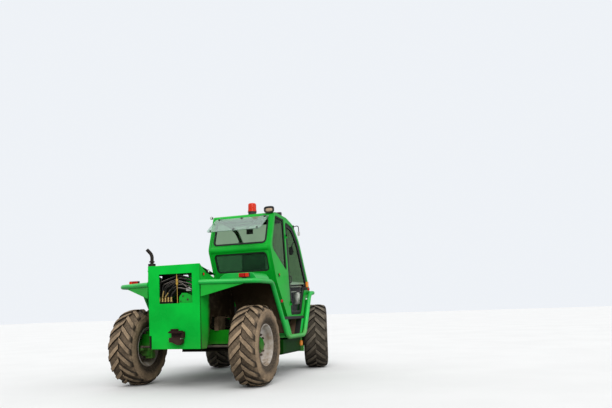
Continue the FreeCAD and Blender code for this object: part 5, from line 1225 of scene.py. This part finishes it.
class TRACTOR_OT_small_lamps(bpy.types.Operator):
    """Work lamp lenses, indicators and reflectors"""

    bl_idname = "tractor.small_lamps"
    bl_label = "Small lamps and reflectors"

    def execute(self, context):
        back, y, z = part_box("work_lamps")[0].x, CAB_RIGHT + 0.075, 2.474
        case = Form()

        def oval(x, wide, tall, drop=0.0, count=28):
            ring = []
            for i in range(count):
                turn = math.tau * i / count
                c, n = math.cos(turn), math.sin(turn)
                ring.append((x, y + math.copysign(abs(c) ** 0.6, c) * wide,
                             z - drop + math.copysign(abs(n) ** 0.6, n) * tall))
            return ring

        case.loft([oval(back + 0.012, 0.070, 0.040), oval(back, 0.079, 0.049), oval(back + 0.020, 0.082,
                                                                                    0.052),
                   oval(back + 0.050, 0.066, 0.044), oval(back + 0.068, 0.044, 0.030)])
        case.box((back + 0.026, back + 0.046), (y - 0.020, y + 0.020), (2.4175, 2.440))
        case.finish("rear_work_lamp", "plastic", angle=40)
        glass = Form()
        glass.loft([oval(back + 0.013, 0.056, 0.026, 0.006), oval(back + 0.006, 0.050, 0.022, 0.006),
                    oval(back + 0.003, 0.02, 0.012, 0.006)])
        glass.finish("rear_work_lamp_lens", "warm", "glass", angle=60)
        lens_at = aft(1.01)
        for i, y0 in enumerate((CAB_RIGHT + 0.06, CAB_LEFT - 0.19)):
            shell = Form().box((lens_at - 0.056, lens_at - 0.006), (y0 + 0.002, y0 + 0.128), (2.430, 2.498))
            piece = shell.finish("front_work_lamp_%d" % i, "plastic", bevel=0.01, segments=3)
            if i == 0:
                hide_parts("work_lamps")
            glass = Form().box((lens_at - 0.010, lens_at - 0.001), (y0 + 0.012, y0 + 0.118), (2.440, 2.488))
            glass.finish("front_work_lamp_lens_%d" % i, "clear", "glass", bevel=0.003)
        pillar = Form().box((0.292, 0.352), (-1.052, -1.0215), (1.365, 1.420))
        pillar.finish("indicator_base", "plastic", bevel=0.004)
        glass = Form().box((0.286, 0.358), (-1.074, -1.046), (1.345, 1.436))
        glass.finish("indicator_lens", "amber", "orange_lens", bevel=0.008, segments=3)
        disc_lamp((0.385, -1.0483, 1.318), (-0.55, -0.83, 0), 0.026, 0.014, "rail_reflector", "red",
                  "red_lens")
        disc_lamp((-0.794, -1.0205, 1.512), (0, -1, 0), 0.017, 0.014, "side_marker", "orange", "orange_lens")
        disc_lamp((-0.781, -1.0485, 1.121), (-0.4, -0.9, 0), 0.026, 0.012, "sill_reflector", "red",
                  "red_lens")
        disc_lamp((-1.934, -0.4005, 1.497), (0, -1, 0), 0.02, 0.012, "plate_reflector", "orange",
                  "orange_lens")
        for name, at, axis in (("roof_lamp_left", (-1.0, -0.03, 2.405), (-1, 0.2, 0)),
                               ("plate_lamp", (-1.84, -0.405, 1.536), (0, -1, 0.1))):
            disc_lamp(at, axis, 0.022, 0.03, name, "clear", "glass")
        return {"FINISHED"}


class TRACTOR_OT_fittings(bpy.types.Operator):
    """Mirror, wiper, hatch strut and knobs, latch, handles, steps, caps and clamps"""

    bl_idname = "tractor.fittings"
    bl_label = "Small fittings"

    def execute(self, context):
        arm = Form()
        arm.tube([(-0.140, -1.0195, 2.300), (-0.135, -1.075, 2.312), (-0.128, -1.100, 2.305),
                  (-0.120, -1.104, 2.262),
                  (-0.118, -1.104, 2.215)], 0.007, 12, bend=0.03)
        arm.box((-0.165, -0.115), (-1.0245, -1.0195), (2.275, 2.325))
        arm.finish("mirror_arm", "plastic", angle=50)
        head = Form().box((-0.132, -0.104), (-1.122, -1.086), (2.155, 2.217))
        head.finish("mirror_head", "pale", bevel=0.008, segments=3)
        strut = Form().rod((-0.985, -0.755, 2.332), (-1.110, -0.735, 2.243), 0.014, 16)
        strut.rod((-1.110, -0.735, 2.243), (-1.228, -0.716, 2.166), 0.010, 12)
        strut.finish("hatch_strut", "rubber")
        knobs = Form()
        for y in (-0.13, -0.51, -0.89):
            for x, z in ((-0.965, 2.372), (-1.245, 2.169)):
                knobs.rod((x - 0.010, y, z + 0.010), (x + 0.006, y, z - 0.012), 0.016, 20, 0.012)
        knobs.finish("hatch_knobs", "rubber", angle=40)
        wiper = Form()
        wiper.tube([(-1.070, -0.50, 2.000), (-1.050, -0.66, 1.945), (-1.066, -0.78, 1.985)], 0.006, 10,
                   bend=0.05)
        wiper.finish("rear_wiper", "rubber")
        latch = Form().box((-0.800, -0.772), (-1.0325, -1.0200), (1.478, 1.500))
        latch.finish("side_latch", "plastic", bevel=0.003)
        handle = Form()
        handle.tube([(-0.425, -1.0405, 1.50), (-0.425, -1.075, 1.50), (-0.425, -1.075, 1.40),
                     (-0.425, -1.0405, 1.40)],
                    0.008, 12, bend=0.02)
        handle.finish("door_handle", "plastic", body="cab_door", angle=50)
        cap = Form()
        cap.lathe([(0.0, 0.0), (0.045, 0.0), (0.045, 0.012), (0.040, 0.026), (0.0, 0.028)],
                  (0.085, -1.0, 0.466),
                  (0, -1, 0), 32)
        cap.finish("tank_cap", "amber", "orange_lens")
        neck = Form()
        neck.lathe([(0.0, 0.0), (0.052, 0.0), (0.052, 0.008), (0.0, 0.010)], (0.085, -0.9965, 0.466),
                   (0, -1, 0), 32)
        neck.finish("tank_neck", "black", "black_steel")
        collar = Form()
        stack = Vector((aft(-0.25), 0.560, 0))
        for z, size in ((1.425, 0.056), (1.585, 0.056), (1.720, 0.034)):
            collar.lathe([(size - 0.010, z), (size + 0.003, z), (size + 0.003, z + 0.018),
                          (size - 0.010, z + 0.018)],
                         stack, (0, 0, 1), 40)
        collar.finish("exhaust_clamps", "pipe", "black_steel")
        sill = Form().box((-0.790, 0.160), (-1.050, -1.0220), (0.849, 0.892))
        sill.finish("sill_rubber", "seal", bevel=0.004)
        Form().box((-0.590, -0.060), (-1.046, -0.880), (0.611, 0.615)).finish("step_mat", "mat", bevel=0.001)
        for name, finish, inner, outer in (("step_mud", "mat", -0.955, -0.862), ("step_pad", "seal", -1.046,
                                                                                 -0.956)):
            back = Form()
            back.prism([(-0.0640, 0.615), (-0.0600, 0.615), (0.0555, 0.846), (0.0515, 0.846)], "side", inner,
                       outer)
            back.finish(name, finish, bevel=0.001)
        return {"FINISHED"}


class TRACTOR_OT_interior(bpy.types.Operator):
    """What shows through the glass and doorway: dash, lining, levers, mat and inner mirror"""

    bl_idname = "tractor.interior"
    bl_label = "Cab interior"

    def execute(self, context):
        dash = Form()
        dash.prism([(0.320, 1.04), (0.470, 1.04), (0.500, 1.30), (0.470, 1.395), (0.330, 1.395),
                    (0.290, 1.345)],
                   "side", -0.966, -0.055)
        dash.box((0.400, 0.430), (-0.966, -0.055), (0.905, 1.10))
        dash.finish("dash", "lining", bevel=0.01, segments=3)
        trim = Form()
        for x, z in ((0.278, 1.353), (0.292, 1.272)):
            trim.box((x, x + 0.030), (-0.962, -0.120), (z, z + 0.019))
        trim.box((0.345, 0.455), (-0.962, -0.120), (1.396, 1.402))
        trim.finish("dash_trim", "pale", bevel=0.004)
        console = Form()
        console.prism([(-0.620, 0.91), (0.050, 0.91), (0.050, 1.10), (-0.060, 1.32), (-0.580, 1.36),
                       (-0.620, 1.30)],
                      "side", -0.275, -0.065)
        console.finish("side_console", "lining", bevel=0.015, segments=3)
        lever = Form()
        lever.tube([(-0.16, -0.17, 1.33), (-0.15, -0.17, 1.44), (-0.13, -0.175, 1.49)], 0.007, 12, bend=0.04)
        lever.lathe([(0.0, 0.0), (0.020, 0.008), (0.024, 0.040), (0.018, 0.072), (0.0, 0.080)],
                    (-0.13, -0.175, 1.475),
                    (0.1, 0, 1), 24)
        lever.finish("boom_lever", "rubber", angle=50)
        bottle = Form()
        bottle.lathe([(0.0, 1.075), (0.052, 1.078), (0.055, 1.095), (0.055, 1.225), (0.046, 1.246),
                      (0.024, 1.256),
                      (0.024, 1.270), (0.0, 1.271)], (0.226, -0.926, 0), (0, 0, 1), 32)
        bottle.finish("washer_bottle", "pale", angle=40)
        shelf = Form().box((0.160, 0.325), (-0.968, -0.866), (1.062, 1.076))
        shelf.rod((0.226, -0.926, 1.270), (0.226, -0.926, 1.296), 0.028, 24)
        shelf.finish("bottle_shelf", "black", "black_steel", bevel=0.002)
        mirror = Form()
        mirror.tube([(-0.50, -0.39, 2.340), (-0.50, -0.39, 2.31), (-0.49, -0.41, 2.26)], 0.009, 10, bend=0.02)
        mirror.box((-0.505, -0.480), (-0.468, -0.362), (2.190, 2.274))
        mirror.finish("inner_mirror", "rubber", bevel=0.008)
        fan = Form()
        fan.tube([(0.10, -0.93, 2.080), (0.13, -0.89, 2.060), (0.160, -0.855, 2.000)], 0.009, 10, bend=0.02)
        fan.lathe([(0.0, -0.070), (0.022, -0.066), (0.036, -0.045), (0.041, 0.0), (0.036, 0.045),
                   (0.022, 0.066),
                   (0.0, 0.070)], (0.168, -0.850, 1.948), (0, 0, 1), 24)
        fan.finish("cab_fan", "seal", angle=50)
        lining = Form().box((-0.860, -0.812), (-0.930, -0.090), (2.330, 2.360))
        lining.box((-0.500, -0.455), (-0.930, -0.090), (2.325, 2.358))
        lining.finish("headliner", "lining", bevel=0.008)
        Form().box((-0.760, 0.100), (-0.968, -0.052), (0.9025, 0.909)).finish("floor_mat", "mat", bevel=0.002)
        return {"FINISHED"}


class TRACTOR_OT_hood_slats(bpy.types.Operator):
    """Cooling slats in the side of the hood, with its catches"""

    bl_idname = "tractor.hood_slats"
    bl_label = "Hood slats"

    def execute(self, context):
        low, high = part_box("engine_hood")
        out = high.y
        slat = Form()
        top = high.z - 0.10
        slat.prism([(0.0, 0.0), (0.016, -0.006), (0.016, -0.012), (0.0, -0.018)], "end", 0.0, 0.42)
        mesh = repeated(slat, "plastic", context.scene.tractor_body.slat_count, step=(0.0, 0.0, -0.0215))
        mesh.transform(Matrix.Translation((low.x + 0.62, out - 0.016, top)))
        for name, shift in (("front", 0.0), ("rear", -0.49)):
            copy = mesh.copy()
            copy.transform(Matrix.Translation((shift, 0, 0)))
            copy.materials.clear()
            settle(copy, "hood_slats_" + name, "plastic", "hood")
        handle = Form()
        handle.box((low.x + 0.555, low.x + 0.585), (out - 0.004, out + 0.010), (low.z + 0.05, low.z + 0.13))
        handle.finish("hood_catch", "plastic", body="hood", bevel=0.004)
        return {"FINISHED"}


class TRACTOR_OT_seat(bpy.types.Operator):
    """The driver's seat, padded and covered in cloth, on a bellows"""

    bl_idname = "tractor.seat"
    bl_label = "Seat"

    def execute(self, context):
        middle = (CAB_LEFT + CAB_RIGHT) / 2
        back = aft(0.94)
        stuffed(crowned((back + 0.02, back + 0.43), (middle - 0.215, middle + 0.215), (1.295, 1.398), "z"),
                "seat_cushion")
        stuffed(crowned((back - 0.10, back + 0.008), (middle - 0.205, middle + 0.205), (1.36, 1.875), "x"),
                "seat_backrest")
        stand = Form().box((back + 0.05, back + 0.41), (middle - 0.19, middle + 0.19), (1.265, 1.296))
        stand.box((back + 0.10, back + 0.36), (middle - 0.14, middle + 0.14), (0.903, 0.960))
        for i in range(6):
            low = 0.960 + i * 0.051
            stand.loft([
                [(back + x, middle + y, z) for x, y in pts] for z, pts in (
                    (low, [(0.13, -0.11), (0.33, -0.11), (0.33, 0.11), (0.13, 0.11)]),
                    (low + 0.025, [(0.11, -0.13), (0.35, -0.13), (0.35, 0.13), (0.11, 0.13)]),
                    (low + 0.051, [(0.13, -0.11), (0.33, -0.11), (0.33, 0.11), (0.13, 0.11)]))
            ])
        base = stand.finish("seat_stand", "plastic", bevel=0.004)
        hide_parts("seat")
        return {"FINISHED"}


def crowned(xs, ys, zs, thick):
    """A stuffed block: crowned on its broad faces, pulled in between its corners."""
    form = Form()
    spans = {"x": xs, "y": ys, "z": zs}
    wide, long_ = [a for a in "xyz" if a != thick]
    count = 12

    def spot(u, v, face):
        edge = max(abs(u), abs(v))
        pull = 1.0 - 0.035 * (1 - edge ** 6)
        round_off = (1 - abs(u) ** 4) * (1 - abs(v) ** 4)
        values = {}
        for axis, share in ((wide, u), (long_, v)):
            a, b = spans[axis]
            other = v if axis == wide else u
            squeeze = 1.0 - 0.03 * (1 - other * other)
            values[axis] = (a + b) / 2 + share * (b - a) / 2 * squeeze * pull
        a, b = spans[thick]
        values[thick] = (a + b) / 2 + face * (b - a) / 2 * (0.42 + 0.58 * max(0.0, round_off) ** 0.5)
        return (values["x"], values["y"], values["z"])

    steps = [-1 + 2 * i / count for i in range(count + 1)]
    for face in (-1, 1):
        grid = [[form.bm.verts.new(spot(u, v, face)) for v in steps] for u in steps]
        for i in range(count):
            for k in range(count):
                form.bm.faces.new((grid[i][k], grid[i + 1][k], grid[i + 1][k + 1], grid[i][k + 1]))
    edge_line = ([(u, -1) for u in steps] + [(1, v) for v in steps[1:]] + [(-u, 1) for u in steps[1:]]
                 + [(-1, -v) for v in steps[1:-1]])
    return form.loft([[spot(u, v, face) for u, v in edge_line] for face in (-1, 1)], caps=False)


def stuffed(form, name):
    """A padded piece of the seat, in cloth and smoothed once more."""
    piece = form.finish(name, "cloth", "seat_fabric", angle=60)
    soften = piece.modifiers.new("Smooth", "SUBSURF")
    soften.levels = 1
    soften.render_levels = 1


class TRACTOR_OT_stage(bpy.types.Operator):
    """Camera, floor, backdrop and soft light"""

    bl_idname = "tractor.stage"
    bl_label = "Stage"

    def execute(self, context):
        stage = context.scene.tractor_stage
        psi, theta, rho = stage.heading, stage.tilt, stage.roll
        ahead = Vector((math.cos(psi) * math.cos(theta), math.sin(psi) * math.cos(theta), math.sin(theta)))
        right = Vector((math.sin(psi), -math.cos(psi), 0))
        up = right.cross(ahead)
        across = right * math.cos(rho) + up * math.sin(rho)
        above = up * math.cos(rho) - right * math.sin(rho)
        turn = Matrix((across, above, -ahead)).transposed()
        data = bpy.data.cameras.new("camera")
        data.lens, data.sensor_width = stage.lens, 36
        data.clip_end = 400
        camera = put("camera", data)
        camera.matrix_world = Matrix.Translation(Vector(stage.stand)) @ turn.to_4x4()
        context.scene.camera = camera
        floor = bpy.data.meshes.new("floor")
        far = 90
        floor.from_pydata([(-far, -far, 0), (far, -far, 0), (far, far, 0), (-far, far, 0)], [],
                          [(0, 1, 2, 3)])
        material, w, shader = new_finish("Pale floor", Roughness=0.9)
        here = w.add("ShaderNodeTexCoord").outputs["Object"]
        tone = w.blend(w.span(w.noise(here, 0.6, 4.0), 0.3, 0.7), rgba(stage.floor, 0.98),
                       rgba(stage.floor, 1.02))
        tone = w.blend(w.add("ShaderNodeLightPath").outputs["Is Camera Ray"], rgba(stage.floor, 0.38), tone)
        w.lead(shader, Base_Color=tone)
        floor.materials.append(material)
        put("floor", floor)
        for name, angles, strength, spread in (
            ("key light", (math.radians(50), 0, math.radians(-66)), 1.95, 50),
            ("side light", (math.radians(58), 0, math.radians(12)), 0.8, 70),
            ("far light", (math.radians(50), 0, math.radians(150)), 0.5, 80),
        ):
            data = bpy.data.lights.new(name, "SUN")
            data.energy = strength
            data.angle = math.radians(spread)
            put(name, data).rotation_euler = angles
        world = bpy.data.worlds.new("Pale backdrop")
        world.use_nodes = True
        context.scene.world = world
        world.node_tree.nodes.clear()
        w = Wires(world.node_tree)
        path = w.add("ShaderNodeLightPath").outputs
        seen = w.math("ADD", path["Is Camera Ray"], path["Is Transmission Ray"], clamp=True)
        light = w.add("ShaderNodeBackground", {"Color": (0.93, 0.96, 1.0, 1), "Strength": 0.62}).outputs[0]
        show = w.add("ShaderNodeBackground", {"Color": rgba(stage.sky), "Strength": 1.0}).outputs[0]
        mixed = w.add("ShaderNodeMixShader", {0: seen, 1: light, 2: show}).outputs[0]
        w.add("ShaderNodeOutputWorld", {"Surface": mixed})
        context.scene.view_settings.view_transform = "Standard"
        return {"FINISHED"}


class TRACTOR_PT_pieces(bpy.types.Panel):
    """The tractor's pieces, sizes and colours"""

    bl_idname = "TRACTOR_PT_pieces"
    bl_label = "Boom tractor"
    bl_space_type = "VIEW_3D"
    bl_region_type = "UI"
    bl_category = "Tractor"

    def draw(self, context):
        for operator in OPERATORS:
            self.layout.operator(operator.bl_idname)
        for group in (context.scene.tractor_paint, context.scene.tractor_tyres, context.scene.tractor_body,
                      context.scene.tractor_stage):
            box = self.layout.box()
            for word in group.__annotations__:
                box.prop(group, word)


OPERATORS = (
    TRACTOR_OT_stage,
    TRACTOR_OT_frame,
    TRACTOR_OT_sheet_metal,
    TRACTOR_OT_tyres,
    TRACTOR_OT_wheels,
    TRACTOR_OT_cab,
    TRACTOR_OT_seals,
    TRACTOR_OT_lamps,
    TRACTOR_OT_small_lamps,
    TRACTOR_OT_hydraulics,
    TRACTOR_OT_fittings,
    TRACTOR_OT_hood_slats,
    TRACTOR_OT_interior,
    TRACTOR_OT_seat,
)
GROUPS_OF_SIZES = {
    "tractor_paint": TractorPaint,
    "tractor_tyres": TractorTyres,
    "tractor_body": TractorBody,
    "tractor_stage": TractorStage,
}


def register():
    for group in GROUPS_OF_SIZES.values():
        bpy.utils.register_class(group)
    for word, group in GROUPS_OF_SIZES.items():
        setattr(bpy.types.Scene, word, bpy.props.PointerProperty(type=group))
    for operator in OPERATORS:
        bpy.utils.register_class(operator)
    bpy.utils.register_class(TRACTOR_PT_pieces)


def unregister():
    bpy.utils.unregister_class(TRACTOR_PT_pieces)
    for operator in reversed(OPERATORS):
        bpy.utils.unregister_class(operator)
    for word, group in GROUPS_OF_SIZES.items():
        delattr(bpy.types.Scene, word)
        bpy.utils.unregister_class(group)


def main():
    """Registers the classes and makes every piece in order."""
    register()
    FINISH.update(make_finishes())
    for operator in OPERATORS:
        kind, name = operator.bl_idname.split(".")
        getattr(getattr(bpy.ops, kind), name)()


if __name__ == "__main__":
    main()
